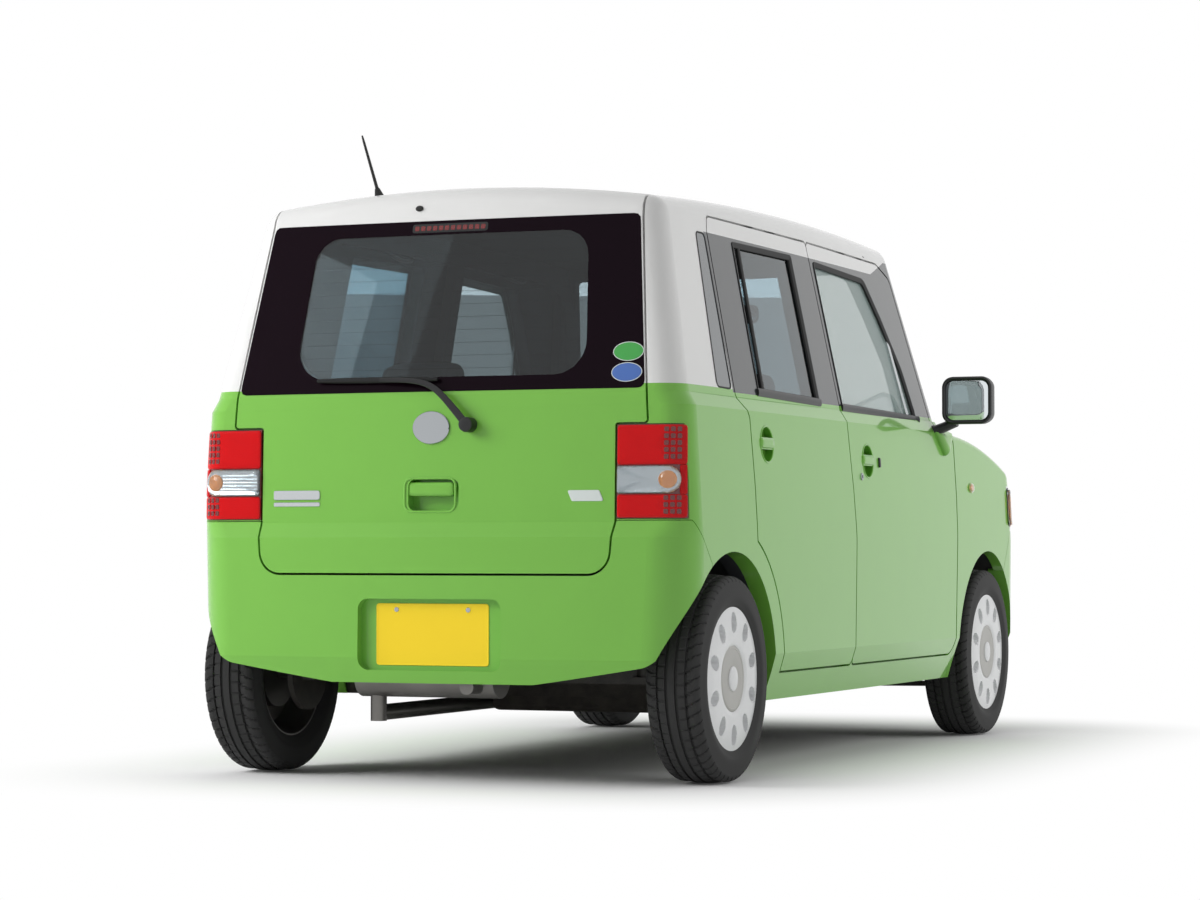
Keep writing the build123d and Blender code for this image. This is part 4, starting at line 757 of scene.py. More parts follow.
class KEI_OT_tail_lamps(bpy.types.Operator):
    """Model the tail lamps: red lenses, a clear lens with an amber bulb and a column of small red facets"""
    bl_idname = "kei.tail_lamps"
    bl_label = "Tail Lamps"

    def execute(self, context):
        reach = lamp_reach()
        rows = [(0.0, -0.004), (0.0, 0.0015), (0.0012, 0.0032), (0.004, 0.0042), (0.009, 0.0046)]
        clear_z, clear_h, clear_end = 0.8045, 0.072, reach - 0.050
        low, high = clear_z - clear_h / 2, clear_z + clear_h / 2
        facet_z = [z for z in LAMP_HIGH_Z - 0.012 - 0.0178 * np.arange(13)
                   if abs(z - clear_z) > clear_h / 2 + 0.008]
        facet_rows = [(0, 0.001), (0, 0.0052), (0.0015, 0.0060), (0.004, 0.0050)]
        for side, sign in SIDES.items():
            place = on_corner(sign)
            red = [box_outline(reach / 2, (LAMP_HIGH_Z + high) / 2 + 0.001, reach - 0.003,
                               LAMP_HIGH_Z - high - 0.003, 0.008),
                   box_outline(reach / 2, (LAMP_LOW_Z + low) / 2 - 0.001, reach - 0.003,
                               low - LAMP_LOW_Z - 0.003, 0.008),
                   box_outline(reach - 0.012, clear_z, 0.020, clear_h + 0.004, 0.003)]
            parts = [pillow(outline, place, rows, 128) for outline in red]
            piece(f"tail_lens_red_{side}", parts, "lamp_red", "body")
            facets = [pillow(box_outline(reach - 0.058 + j * 0.0165, z, 0.0115, 0.0125, 0.0015, 3), place,
                             facet_rows, 16) for z in facet_z for j in range(3)]
            piece(f"tail_lens_facets_{side}", facets, "lamp_dark_red", "body")
            capsule = rounded([(0.002, low), (clear_end + 0.030, low), (clear_end + 0.030, high),
                               (0.002, high)], [0.006, clear_h / 2 - 0.001, clear_h / 2 - 0.001, 0.006], 16)
            bowl_rows = [(0.0, -0.003), (0.0, 0.0056), (0.003, 0.0052), (0.010, 0.0045)]
            piece(f"tail_reflector_{side}", [pillow(capsule, place, bowl_rows, 128)], "lamp_silver", "body")
            cover_rows = [(0.001, 0.0058), (0.0, 0.0066), (0.002, 0.0095), (0.007, 0.0118), (0.016, 0.0130)]
            piece(f"tail_lens_clear_{side}", [pillow(capsule, place, cover_rows, 128)], "lamp_clear", "body")
            bulb = oval(clear_end - 0.004, clear_z, 0.046, 0.046)
            bulb_rows = [(0.0, 0.0050), (0.001, 0.0068), (0.006, 0.0086), (0.014, 0.0096)]
            piece(f"tail_bulb_{side}", [pillow(bulb, place, bulb_rows, 48)], "lamp_amber", "body")
        return {"FINISHED"}


# ---------------------------------------------------------------- rear window and tailgate
REAR_GLASS = [(0.600, 1.0400), (0.545, 1.515)]     # half widths and heights at the foot and the head
CLEAR_PANE = [(0.430, 1.083), (0.400, 1.473)]
BRAKE_LAMP_Z = 1.491
LABEL_Y = -0.543


def both_halves(points):
    """The points and their mirror images across the car, as one closed outline."""
    return [*points, *[(-y, z) for y, z in reversed(points)]]


class KEI_OT_rear_window(bpy.types.Operator):
    """Model the rear window's dark border, demister lines, brake lamp, washer nozzle and two plain labels"""
    bl_idname = "kei.rear_window"
    bl_label = "Rear Window"

    def execute(self, context):
        outer = inset(even(rounded(both_halves(REAR_GLASS), 0.02), 240), 0.0035)
        inner = even(rounded(both_halves(CLEAR_PANE), [0.085, 0.075, 0.075, 0.085]), 240)
        inner = np.roll(inner, -int(np.argmin(np.linalg.norm(inner - outer[0], axis=1))), 0)
        steps = np.linspace(0, 1, 7)[:, None, None]
        sheet = outer[None] * (1 - steps) + inner[None] * steps
        front = on_rear(sheet[..., 0], sheet[..., 1], 0.0006)
        back = on_rear(sheet[..., 0], sheet[..., 1], 0.0001)[::-1]
        piece("rear_window_border", [ring(np.concatenate([front, back]))], "ceramic_black", "tailgate")
        wires = []
        for z in np.linspace(1.105, 1.455, context.scene.kei_car.demister_lines):
            y = np.linspace(-0.405, 0.405, 24)
            path = on_rear(y, z + 0 * y, -0.0062)
            wires.append(carried(path, circle(0.0005, 6), (0, 0, 1)))
        piece("demister_lines", wires, "seal_rubber", "tailgate")
        body = pillow(box_outline(0.004, BRAKE_LAMP_Z, 0.224, 0.024, 0.006), on_rear,
                      [(0, 0.0004), (0, 0.0010), (0.001, 0.0013)], 96)
        piece("high_brake_lamp", [body], "satin_black", "tailgate")
        cells = [pillow(box_outline(-0.094 + 0.0178 * i, BRAKE_LAMP_Z, 0.013, 0.013, 0.002, 3), on_rear,
                        [(0, 0.0010), (0, 0.0019), (0.002, 0.0022)], 16) for i in range(12)]
        piece("high_brake_lamp_cells", cells, "lamp_dark_red", "tailgate")
        for z, coat in ((1.1405, "label_green"), (1.0855, "label_blue")):
            face = pillow(oval(LABEL_Y, z, 0.083, 0.049), on_rear,
                          [(0, 0.0004), (0, 0.0012), (0.001, 0.0015)], 64)
            piece(coat, [face], coat, "tailgate")
            rim = band(oval(LABEL_Y, z, 0.085, 0.051), on_rear,
                       [(0, 0.0004), (0, 0.0016), (0.0018, 0.0018), (0.0018, 0.0006)], 64)
            piece(coat + "_rim", [rim], "label_pale", "tailgate")
        nozzle = pillow(oval(0.102, 1.5475, 0.022, 0.016, 32), on_rear,
                        [(0, -0.006), (0, 0.003), (0.003, 0.007), (0.006, 0.008)], 32)
        piece("washer_nozzle", [nozzle], "black_plastic", "tailgate")
        return {"FINISHED"}


# ---------------------------------------------------------------- wipers
WIPER_HUB = np.array([-0.106, 0.953])
WIPER_ELBOW = np.array([0.009, 1.0765])
WIPER_TIP = np.array([0.351, 1.0785])
FRONT_WIPERS = [(-0.420, 0.060), (0.130, 0.560)]     # y of the spindle and of the blade's tip
BLADE_HOOD = [(-0.0075, -0.0055), (0.0065, -0.0055), (0.0075, 0.0), (0.004, 0.0062), (-0.004, 0.0062),
              (-0.0085, 0.0)]
BLADE_RUBBER = [(-0.001, -0.0032), (0.001, -0.0032), (0.0016, 0.0045), (-0.0016, 0.0045)]


def wiper_arm(place, up, foot, corner, end, heights, scales):
    """An oval section carried along a cubic whose two inner control points both lie at the corner. The
    height over the surface is heights[0], less heights[1] by the end, plus heights[2] times half a sine."""
    t = np.linspace(0, 1, 40)
    line = ((1 - t) ** 3)[:, None] * foot + (3 * t * (1 - t))[:, None] * corner
    line = line + (t ** 3)[:, None] * end
    height = heights[0] - heights[1] * t + heights[2] * np.sin(t * math.pi)
    return carried(place(line[:, 0], line[:, 1], height), circle(0.0095, 20, 0.55), up,
                   scale=scales[0] - scales[1] * t)


def wiper_blade(place, up, ends, hood_height, rubber_height):
    """A hood over a strip of rubber, carried along a straight line. The hood thins at both ends by a low
    power of half a sine."""
    s = np.linspace(0, 1, 60)
    y, z = (a + (b - a) * s for a, b in zip(*ends))
    taper = 0.35 + 0.65 * np.sin(np.clip(s * 0.96 + 0.02, 0, 1) * math.pi) ** 0.35
    return [carried(place(y, z, hood_height + 0 * y), BLADE_HOOD, up, scale=taper),
            carried(place(y, z, rubber_height + 0 * y), BLADE_RUBBER, up)]


class KEI_OT_rear_wiper(bpy.types.Operator):
    """Model the rear wiper: a domed hub, a bent tapering arm and a blade with its rubber"""
    bl_idname = "kei.rear_wiper"
    bl_label = "Rear Wiper"

    def execute(self, context):
        rearwards = (-1, 0, 0)
        arm = wiper_arm(on_rear, rearwards, WIPER_HUB, WIPER_ELBOW + (-0.012, -0.004),
                        WIPER_ELBOW + (0.150, 0.0005), (0.026, 0.006, 0.004), (1.15, 0.55))
        hub = turned([(0.0, 0.030), (0.0200, 0.030), (0.0205, 0.000), (0.019, -0.008), (0.013, -0.0125),
                      (0.0, -0.0135)], on_rear(WIPER_HUB[:1], WIPER_HUB[1:], 0.026)[0], axis="x", count=48)
        piece("rear_wiper_arm", [arm, hub], "satin_black", "tailgate", replaces=["rear_wiper"])
        blade = wiper_blade(on_rear, rearwards, ((-0.010, WIPER_ELBOW[1]), WIPER_TIP), 0.0135, 0.0045)
        piece("rear_wiper_blade", blade, "seal_rubber", "tailgate")
        return {"FINISHED"}


class KEI_OT_front_wipers(bpy.types.Operator):
    """Model the windscreen wipers: upright spindles, bent tapering arms and parked blades with rubbers"""
    bl_idname = "kei.front_wipers"
    bl_label = "Front Wipers"

    def execute(self, context):
        arms, blades = [], []
        for pivot, tip in FRONT_WIPERS:
            foot = np.array([pivot, 1.044])
            end = np.array([(pivot + tip) / 2 + 0.070, 1.0875])
            arms.append(wiper_arm(on_screen, SCREEN_OUT, foot, foot + (0.105, 0.034), end,
                                  (0.034, 0.0115, 0.003), (1.10, 0.50)))
            arms.append(turned([(0.0, -0.055), (0.013, -0.055), (0.013, -0.008), (0.0165, -0.006),
                                (0.0165, 0.005), (0.012, 0.0085), (0.0, 0.0095)],
                               on_screen(foot[0], foot[1], 0.034), axis="z", count=40))
            blades += wiper_blade(on_screen, SCREEN_OUT, ((pivot + 0.090, 1.078), (tip, 1.092)), 0.0145,
                                  0.0055)
        piece("windscreen_wiper_arms", arms, "satin_black", "body", replaces=["windscreen_wipers"])
        piece("windscreen_wiper_blades", blades, "seal_rubber", "body")
        return {"FINISHED"}


# ---------------------------------------------------------------- badges and plates
PLATE_SIZE = (0.330, 0.165)


class KEI_OT_rear_badges(bpy.types.Operator):
    """Model the plain badges, the tailgate handle and the number plates"""
    bl_idname = "kei.rear_badges"
    bl_label = "Badges and Plates"

    def execute(self, context):
        disc = pillow(oval(0.008, 0.947, 0.108, 0.088, 96), on_rear,
                      [(0, -0.001), (0, 0.0035), (0.0015, 0.0052), (0.004, 0.0058), (0.0085, 0.0046),
                       (0.011, 0.0036), (0.02, 0.0042)], 96)
        piece("plain_badge", [disc], "bright_metal", "tailgate")
        bar_shape = pillow(box_outline(0.411, 0.7695, 0.142, 0.026, 0.005), on_rear,
                           [(0, -0.001), (0, 0.002), (0.001, 0.0034), (0.003, 0.0038)], 96)
        strip = pillow(box_outline(0.411, 0.7445, 0.142, 0.012, 0.003), on_rear,
                       [(0, -0.001), (0, 0.0015), (0.001, 0.0026), (0.002, 0.0028)], 96)
        piece("plain_name_bars", [bar_shape, strip], "badge_silver", "tailgate")
        slant = rounded([(-0.385, 0.778), (-0.474, 0.778), (-0.487, 0.749), (-0.398, 0.749)], 0.004)
        piece("plain_side_badge",
              [pillow(slant, on_rear, [(0, -0.001), (0, 0.0012), (0.001, 0.002), (0.003, 0.0021)], 96)],
              "label_pale", "tailgate")
        frame_shape = band(box_outline(0.010, 0.768, 0.156, 0.096, 0.024), on_rear,
                           [(0, -0.001), (0.0005, 0.0018), (0.003, 0.0030), (0.006, 0.0022),
                            (0.007, -0.001)], 160)
        piece("tailgate_handle_rim", [frame_shape], "car_paint", "tailgate")
        lip = pillow(box_outline(0.010, 0.7835, 0.134, 0.036, 0.010), on_rear,
                     [(0, -0.018), (0, -0.006), (0.003, -0.003), (0.008, -0.002)], 96)
        piece("tailgate_handle_pull", [lip], "car_paint", "tailgate")
        plates_low, plates_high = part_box("number_plates")
        for label, x, z, sign in (("rear", plates_low.x, 0.397, -1.0), ("front", plates_high.x, 0.535, 1.0)):
            place = on_plane(x, sign)
            face = pillow(box_outline(0, z, *PLATE_SIZE, 0.008), place,
                          [(0, -0.0016), (0, -0.0004), (0.0008, 0.0003), (0.003, 0.0003), (0.0045, -0.0004),
                           (0.008, -0.0004)], 200)
            screws = [pillow(oval(y, z + 0.066, 0.013, 0.013, 24), place,
                             [(0, -0.001), (0, 0.0012), (0.002, 0.0022)], 24) for y in (-0.105, 0.105)]
            piece(f"plate_{label}", [face], "plate_yellow", "body",
                  replaces=["number_plates"] if label == "rear" else ())
            piece(f"plate_screws_{label}", screws, "bright_metal", "body")
        return {"FINISHED"}


# ---------------------------------------------------------------- side windows
FRONT_WINDOW = [(-0.313, 1.042), (0.452, 1.034), (0.388, 1.190), (0.262, 1.345), (0.150, 1.462),
                (-0.336, 1.477)]
FRONT_WINDOW_R = [0.010, 0.020, 0.160, 0.150, 0.060, 0.012]
REAR_WINDOW = [(-1.040, 1.055), (-0.525, 1.048), (-0.540, 1.478), (-1.030, 1.475)]
QUARTER_WINDOW = [(-1.358, 1.057), (-1.250, 1.055), (-1.236, 1.482), (-1.300, 1.482)]
# Sections of a rubber run, as (distance inwards, height), and of a belt moulding
WINDOW_RUN = [(-0.0015, 0.0006), (-0.0015, 0.0020), (0.004, 0.0018), (0.014, -0.0015), (0.015, -0.0068),
              (0.001, -0.0072)]
BELT_SECTION = [(-0.010, -0.003), (0.010, -0.003), (0.011, 0.002), (0.006, 0.005), (-0.006, 0.0045),
                (-0.011, 0.001)]


class KEI_OT_side_windows(bpy.types.Operator):
    """Model the rubber runs, belt mouldings and division bars of the side windows"""
    bl_idname = "kei.side_windows"
    bl_label = "Side Window Seals"

    def execute(self, context):
        for side, sign in SIDES.items():
            place, outwards = on_side(sign), (0, sign, 0)
            for end, points, radii in (("front", FRONT_WINDOW, FRONT_WINDOW_R), ("rear", REAR_WINDOW, 0.008)):
                run = band(rounded(points, radii), place, WINDOW_RUN, 300)
                piece(f"{end}_window_run_{side}", [run], "seal_rubber", f"{end}_door_{side}")
                low = np.array(points[:2], float)
                x = np.linspace(low[0, 0] - 0.010, low[1, 0] + 0.006, 40)
                z = np.interp(x, low[:, 0], low[:, 1]) + 0.001
                belt = carried(place(x, z, 0.001 + 0 * x), BELT_SECTION, outwards)
                piece(f"{end}_belt_moulding_{side}", [belt], "satin_black", f"{end}_door_{side}")
            bars = (("rear", [(-0.985, 1.062), (-0.972, 1.470)], "seal_rubber", 0.009),
                    ("front", [(0.372, 1.048), (0.298, 1.310)], "badge_silver", 0.008))
            for end, ends, coat, width in bars:
                ends = np.array(ends)
                t = np.linspace(0, 1, 24)[:, None]
                line = ends[0] * (1 - t) + ends[1] * t
                section = [(-width, -0.004), (width, -0.004), (width, 0.002), (width * 0.5, 0.0045),
                           (-width * 0.5, 0.0045), (-width, 0.002)]
                bar = carried(place(line[:, 0], line[:, 1], -0.006 + 0 * line[:, 0]), section, outwards)
                piece(f"{end}_division_bar_{side}", [bar], coat, f"{end}_door_{side}")
            seal = band(rounded(QUARTER_WINDOW, 0.016), place,
                        [(-0.001, 0.0004), (-0.001, 0.0014), (0.0022, 0.0016), (0.0035, 0.0006),
                         (0.0035, -0.001)], 200)
            piece(f"quarter_window_seal_{side}", [seal], "seal_rubber", "body")
        return {"FINISHED"}


# Middles of the fittings on the car's side, as (x, z)
HANDLES = {"front": (-0.160, 0.888), "rear": (-1.051, 0.912)}
LOCK = (-0.230, 0.840)
REPEATER = (0.960, 0.827)


class KEI_OT_door_fittings(bpy.types.Operator):
    """Model the pull-handle rims, lock cylinder, entry buttons and side repeaters"""
    bl_idname = "kei.door_fittings"
    bl_label = "Door Fittings"

    def execute(self, context):
        for side, sign in SIDES.items():
            place = on_side(sign)
            for end, (x, z) in HANDLES.items():
                rim = band(oval(x, z, 0.106, 0.106, 96), place,
                           [(0, -0.001), (0.0005, 0.0012), (0.003, 0.0020), (0.0052, 0.0010),
                            (0.006, -0.002)], 96)
                grip = pillow(box_outline(x, z + 0.004, 0.104, 0.030, 0.010), place,
                              [(0, -0.010), (0, 0.001), (0.003, 0.0045), (0.008, 0.0058)], 96)
                piece(f"{end}_door_grip_{side}", [rim, grip], "car_paint", f"{end}_door_{side}")
            button = pillow(box_outline(-0.051, 0.886, 0.012, 0.030, 0.005), place,
                            [(0, -0.002), (0, 0.003), (0.002, 0.0055)], 48)
            piece(f"entry_button_{side}", [button], "satin_black", f"front_door_{side}")
            if side == "right":
                lock = pillow(oval(*LOCK, 0.019, 0.022, 48), place,
                              [(0, -0.002), (0, 0.003), (0.002, 0.0048), (0.005, 0.0040)], 48)
                piece("lock_cylinder", [lock], "bright_metal", "front_door_right")
                slit = pillow(box_outline(*LOCK, 0.0022, 0.010, 0.001, 3), place,
                              [(0, 0.003), (0, 0.0046), (0.0004, 0.0047)], 16)
                piece("lock_slot", [slit], "seal_rubber", "front_door_right")
            repeater = pillow(oval(*REPEATER, 0.052, 0.034, 64), place,
                              [(0, -0.001), (0, 0.003), (0.003, 0.0068), (0.009, 0.0085)], 64)
            piece(f"side_repeater_{side}", [repeater], "lamp_clear", "body")
            bulb = pillow(oval(*REPEATER, 0.030, 0.020, 48), place,
                          [(0, -0.001), (0.001, 0.0012), (0.004, 0.0022)], 48)
            piece(f"side_repeater_bulb_{side}", [bulb], "lamp_amber", "body")
        return {"FINISHED"}


class KEI_OT_antenna(bpy.types.Operator):
    """Model the roof antenna: a rubber foot and a mast wound with a fine helix"""
    bl_idname = "kei.antenna"
    bl_label = "Antenna"

    def execute(self, context):
        low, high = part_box("antenna")
        foot = np.array([high.x - 0.016, (low.y + high.y) / 2, low.z + 0.002])
        tip = np.array([low.x + 0.002, (low.y + high.y) / 2, high.z - 0.001])
        t = np.linspace(0, 1, 400)[:, None]
        path = foot * (1 - t) + tip * t
        s = t[:, 0]
        girth = np.interp(s, [0, 0.02, 0.17, 0.19, 0.9, 1.0],
                          [0.0165, 0.0150, 0.0072, 0.0046, 0.0034, 0.0024])
        ridge = 0.0005 * np.sin(s * 2 * math.pi * 46) * (s > 0.2) * (s < 0.97)
        mast = carried(path, circle(1.0, 20), (1, 0, 0.3), scale=girth + ridge)
        piece("antenna_mast", [mast], "black_plastic", "body", sharp=60, replaces=["antenna"])
        return {"FINISHED"}


MIRROR_X = 0.548            # the glass side of the housing
MIRROR_MIDDLE, MIRROR_SIZE, MIRROR_RIM = (0.8315, 1.0995), (0.165, 0.153), 0.013


class KEI_OT_mirrors(bpy.types.Operator):
    """Model the door mirrors: rounded black housings, silvered glass, stalks and painted feet"""
    bl_idname = "kei.mirrors"
    bl_label = "Door Mirrors"

    def execute(self, context):
        for side, sign in SIDES.items():
            place = lambda u, v, out: np.stack([MIRROR_X + out + 0 * u, sign * u, v], -1)
            face = box_outline(*MIRROR_MIDDLE, *MIRROR_SIZE, 0.036, 12)
            shell_rows = [(0.012, 0.010), (0.011, 0.002), (0.006, 0.0), (0.001, 0.004), (0.0, 0.014),
                          (0.001, 0.034), (0.004, 0.052), (0.010, 0.065), (0.018, 0.072), (0.027, 0.0765),
                          (0.034, 0.078)]
            piece(f"mirror_housing_{side}", [pillow(face, place, shell_rows, 160)], "satin_black",
                  f"front_door_{side}", replaces=[f"door_mirror_{side}"])
            pane = box_outline(*MIRROR_MIDDLE, *(size - 2 * MIRROR_RIM for size in MIRROR_SIZE), 0.026, 12)
            glass_rows = [(0, 0.0105), (0, 0.0085), (0.002, 0.0078)]
            piece(f"mirror_glass_{side}", [pillow(pane, place, glass_rows, 96)], "mirror_silver",
                  f"front_door_{side}")
            arm = [(0.590, sign * y, z) for y, z in ((0.690, 1.002), (0.722, 1.006), (0.752, 1.018),
                                                     (0.785, 1.032))]
            stalk = carried(arm, circle(0.016, 24, 1.5), (1, 0, 0), scale=[1.25, 1.1, 1.0, 1.0])
            piece(f"mirror_stalk_{side}", [stalk], "satin_black", f"front_door_{side}")
            foot = rounded([(0.540, 1.016), (0.742, 1.008), (0.668, 0.918)], [0.012, 0.020, 0.020], 10)
            foot_shape = pillow(foot, on_side(sign),
                                [(0, -0.004), (0, 0.006), (0.003, 0.012), (0.010, 0.018), (0.020, 0.021)],
                                120)
            piece(f"mirror_foot_{side}", [foot_shape], "car_paint", f"front_door_{side}")
        return {"FINISHED"}


# ---------------------------------------------------------------- head lamps and front details
# Nose of the body form: height, front inset, front bow, corner radius
NOSE = np.array([(0.655, 0.008, 0.105, 0.200), (0.695, 0.024, 0.100, 0.190), (0.800, 0.034, 0.098, 0.185),
                 (1.000, 0.082, 0.090, 0.170)])
HEADLAMP_Y = 0.394


def on_nose(sign):
    """Maps (distance outwards from HEADLAMP_Y, height, height above the skin) to space. The front face is a
    parabola x = a - b y^2. The corner's arc touches it where the two normals agree, and touches the side."""
    def place(u, v, out):
        inset_x, bow, radius = (np.interp(v, NOSE[:, 0], NOSE[:, k]) for k in (1, 2, 3))
        half = side_y(1.45, v)
        bend = 2 * bow / (half - SIDE_BOW) ** 2
        touch = half - radius / 2
        for _ in range(6):
            slope = bend * touch
            touch = half - radius + radius * slope / np.hypot(1, slope)
        start = np.arctan(bend * touch)
        straight = touch - HEADLAMP_Y
        on_face = u < straight
        y = HEADLAMP_Y + np.minimum(u, straight)
        along_arc = np.clip((u - straight) / radius, 0, math.pi / 2 - start)
        after = np.maximum(u - straight - radius * (math.pi / 2 - start), 0)
        turn = np.where(on_face, np.arctan(bend * y), start + along_arc)
        middle_x = FRONT_X - inset_x - bend / 2 * touch ** 2 - radius * np.cos(start)
        middle_y = touch - radius * np.sin(start)
        x = np.where(on_face, FRONT_X - inset_x - bend / 2 * y ** 2, middle_x + radius * np.cos(turn))
        y = np.where(on_face, y, middle_y + radius * np.sin(turn))
        return np.stack([x + out * np.cos(turn) - after, sign * (y + out * np.sin(turn)), v + 0 * x], -1)
    return place


class KEI_OT_head_lamps(bpy.types.Operator):
    """Model the head lamps: a dark seam, two bowls with bulbs, an amber flasher and a clear cover"""
    bl_idname = "kei.head_lamps"
    bl_label = "Head Lamps"

    def execute(self, context):
        low_z, high_z, reach = 0.6985, 0.8335, 0.445
        cover = rounded([(0.002, low_z), (reach, low_z + 0.006), (reach - 0.012, high_z), (0.002, high_z)],
                        [0.012, 0.020, 0.030, 0.012], 10)
        for side, sign in SIDES.items():
            place = on_nose(sign)
            seam = band(cover, place,
                        [(-0.002, -0.002), (-0.002, 0.0014), (0.003, 0.0020), (0.004, -0.001)], 240)
            back = pillow(inset(even(cover, 200), 0.004), place,
                          [(0, -0.001), (0, 0.0006), (0.004, 0.0010)], 200)
            piece(f"head_lamp_seam_{side}", [seam, back], "satin_black", "body")
            bowls, bulbs = [], []
            for u, r in ((0.080, 0.112), (0.202, 0.098)):
                bowls.append(pillow(oval(u, 0.766, r, r, 64), place,
                                    [(0, 0.0008), (0, 0.0046), (0.002, 0.0052), (0.006, 0.0040),
                                     (0.020, 0.0022), (0.034, 0.0016)], 64))
                bulbs.append(pillow(oval(u, 0.766, 0.034, 0.034, 40), place,
                                    [(0, 0.0012), (0, 0.0036), (0.004, 0.0052)], 40))
            piece(f"head_lamp_bowls_{side}", bowls, "lamp_silver", "body")
            piece(f"head_lamp_bulbs_{side}", bulbs, "mirror_silver", "body")
            flasher = pillow(rounded([(0.285, 0.722), (0.405, 0.722), (0.398, 0.812), (0.285, 0.812)],
                                     0.014), place,
                             [(0, 0.0008), (0, 0.0036), (0.003, 0.0048)], 96)
            piece(f"head_lamp_flasher_{side}", [flasher], "lamp_amber", "body")
            lens_rows = [(0.004, 0.0056), (0.0035, 0.0064), (0.003, 0.0080), (0.006, 0.0098), (0.014, 0.0108)]
            piece(f"head_lamp_cover_{side}", [pillow(cover, place, lens_rows, 240)], "lamp_clear", "body")
        return {"FINISHED"}


class KEI_OT_front_details(bpy.types.Operator):
    """Model the plain front emblem and the inside mirror"""
    bl_idname = "kei.front_details"
    bl_label = "Front Details"

    def execute(self, context):
        place = on_plane(FRONT_X - 0.0405, 1.0)
        emblem = pillow(oval(0.0, 0.786, 0.112, 0.074, 96), place,
                        [(0, -0.004), (0, 0.006), (0.002, 0.0085), (0.005, 0.0090), (0.009, 0.0072),
                         (0.014, 0.0070)], 96)
        piece("plain_front_badge", [emblem], "badge_silver", "body")
        stem = carried([on_screen(0.0, 1.462 - 0.010 * k, -0.008 - 0.010 * k) for k in range(6)],
                       circle(0.007, 16), (0, 1, 0))
        place = on_plane(on_screen(0.0, 1.41, -0.085)[0], -1.0)
        shell = pillow(box_outline(0.0, 1.398, 0.215, 0.062, 0.022), place,
                       [(0.020, -0.026), (0.008, -0.020), (0.0, -0.004), (0.0, 0.003), (0.002, 0.0045)], 120)
        piece("inside_mirror", [stem, shell], "satin_black", "body")
        pane = pillow(box_outline(0.0, 1.398, 0.205, 0.052, 0.018), place,
                      [(0, 0.002), (0, 0.0052), (0.001, 0.0056)], 96)
        piece("inside_mirror_glass", [pane], "mirror_silver", "body")
        return {"FINISHED"}


# ---------------------------------------------------------------- cabin
CUSHION_Z = (0.340, 0.505)
SEATS = {     # y, width, front x, back x, lean in degrees, head restraint places
    "front_seat_left": (0.330, 0.490, 0.440, -0.030, 15.0, (0.0,)),
    "front_seat_right": (-0.330, 0.490, 0.440, -0.030, 15.0, (0.0,)),
    "rear_seat": (0.0, 1.150, -0.440, -0.830, 12.0, (-0.345, 0.345)),
}


class KEI_OT_seats(bpy.types.Operator):
    """Model the padded seats: cushions, backrests and head restraints with sewn channels, on dark bases"""
    bl_idname = "kei.seats"
    bl_label = "Seats"

    def execute(self, context):
        z0, z1 = CUSHION_Z
        for node, (y, width, front, back, lean, heads) in SEATS.items():
            tilt = math.radians(lean)

            def leaning(a, b, across=0.0):
                """A point a ahead of and b up the backrest's own line."""
                return (back + a * math.cos(tilt) - b * math.sin(tilt), y + across,
                        z0 + 0.060 + a * math.sin(tilt) + b * math.cos(tilt))

            wide = 3 if len(heads) == 1 else 5
            lengthwise = [(True, place, 0.07) for place in np.linspace(-0.6, 0.6, wide) if abs(place) > 0.01]
            channels = lengthwise + [(False, place, 0.05) for place in (-0.62, -0.2, 0.22, 0.62)]
            columns = 144 if wide == 3 else 240
            cushion = pad(((back - 0.040 + front) / 2, y, (z0 + z1) / 2),
                          (front - back + 0.040, width, z1 - z0), 0.0, 0.34, 0.05, channels, 0.015, 72,
                          columns)
            rest = pad(leaning(-0.020, 0.300), (0.610, width - 0.006, 0.135), -math.pi / 2 - tilt, 0.36, 0.10,
                       channels, 0.02, 72, columns)
            tops = [pad(leaning(-0.020, 0.702, k), (0.160, 0.250, 0.092), -math.pi / 2 - tilt, 0.42, 0.10,
                        [(True, -0.72, 0.05), (True, 0.72, 0.05)], 0.03, 48, 96) for k in heads]
            labels = [f"{node}_cushion", f"{node}_backrest"] + [f"{node}_head_{k}" for k in range(len(heads))]
            for label, shape in zip(labels, [cushion, rest, *tops]):
                part = piece(label, [shape], "seat_cloth", "body",
                             replaces=[node] if shape is cushion else ())
            posts = [carried([leaning(-0.020, b, k + s) for b in np.linspace(0.56, 0.66, 6)],
                             circle(0.006, 16), (0, 1, 0))
                     for k in heads for s in (-0.055, 0.055)]
            piece(f"{node}_head_posts", posts, "bright_metal", "body")
            base_outline = box_outline((back + front) / 2 - 0.035, y, front - back - 0.110, width - 0.140,
                                       0.030)
            base = pillow(base_outline, lambda u, v, out: np.stack([u, v, 0.2405 + out + 0 * u], -1),
                          [(0, 0), (0.0, 0.004), (0.010, 0.030), (0.012, 0.090), (0.004, z0 - 0.225)], 160)
            piece(f"{node}_base", [base], "trim_plastic", "body")
        return {"FINISHED"}


WHEEL_HUB = np.array([0.392, -0.335, 0.900])
COLUMN_TILT = math.radians(25)
COLUMN_AXIS = np.array([-math.cos(COLUMN_TILT), 0, math.sin(COLUMN_TILT)])
STEERING_R = 0.182


def on_wheel(u, v, out):
    """Maps the steering wheel's own plane, v towards its top, to space."""
    up = np.array([math.sin(COLUMN_TILT), 0, math.cos(COLUMN_TILT)])
    across = np.array([0, 1.0, 0])
    flat = np.multiply.outer(u, across) + np.multiply.outer(v, up)
    return WHEEL_HUB + flat + np.multiply.outer(out, COLUMN_AXIS)


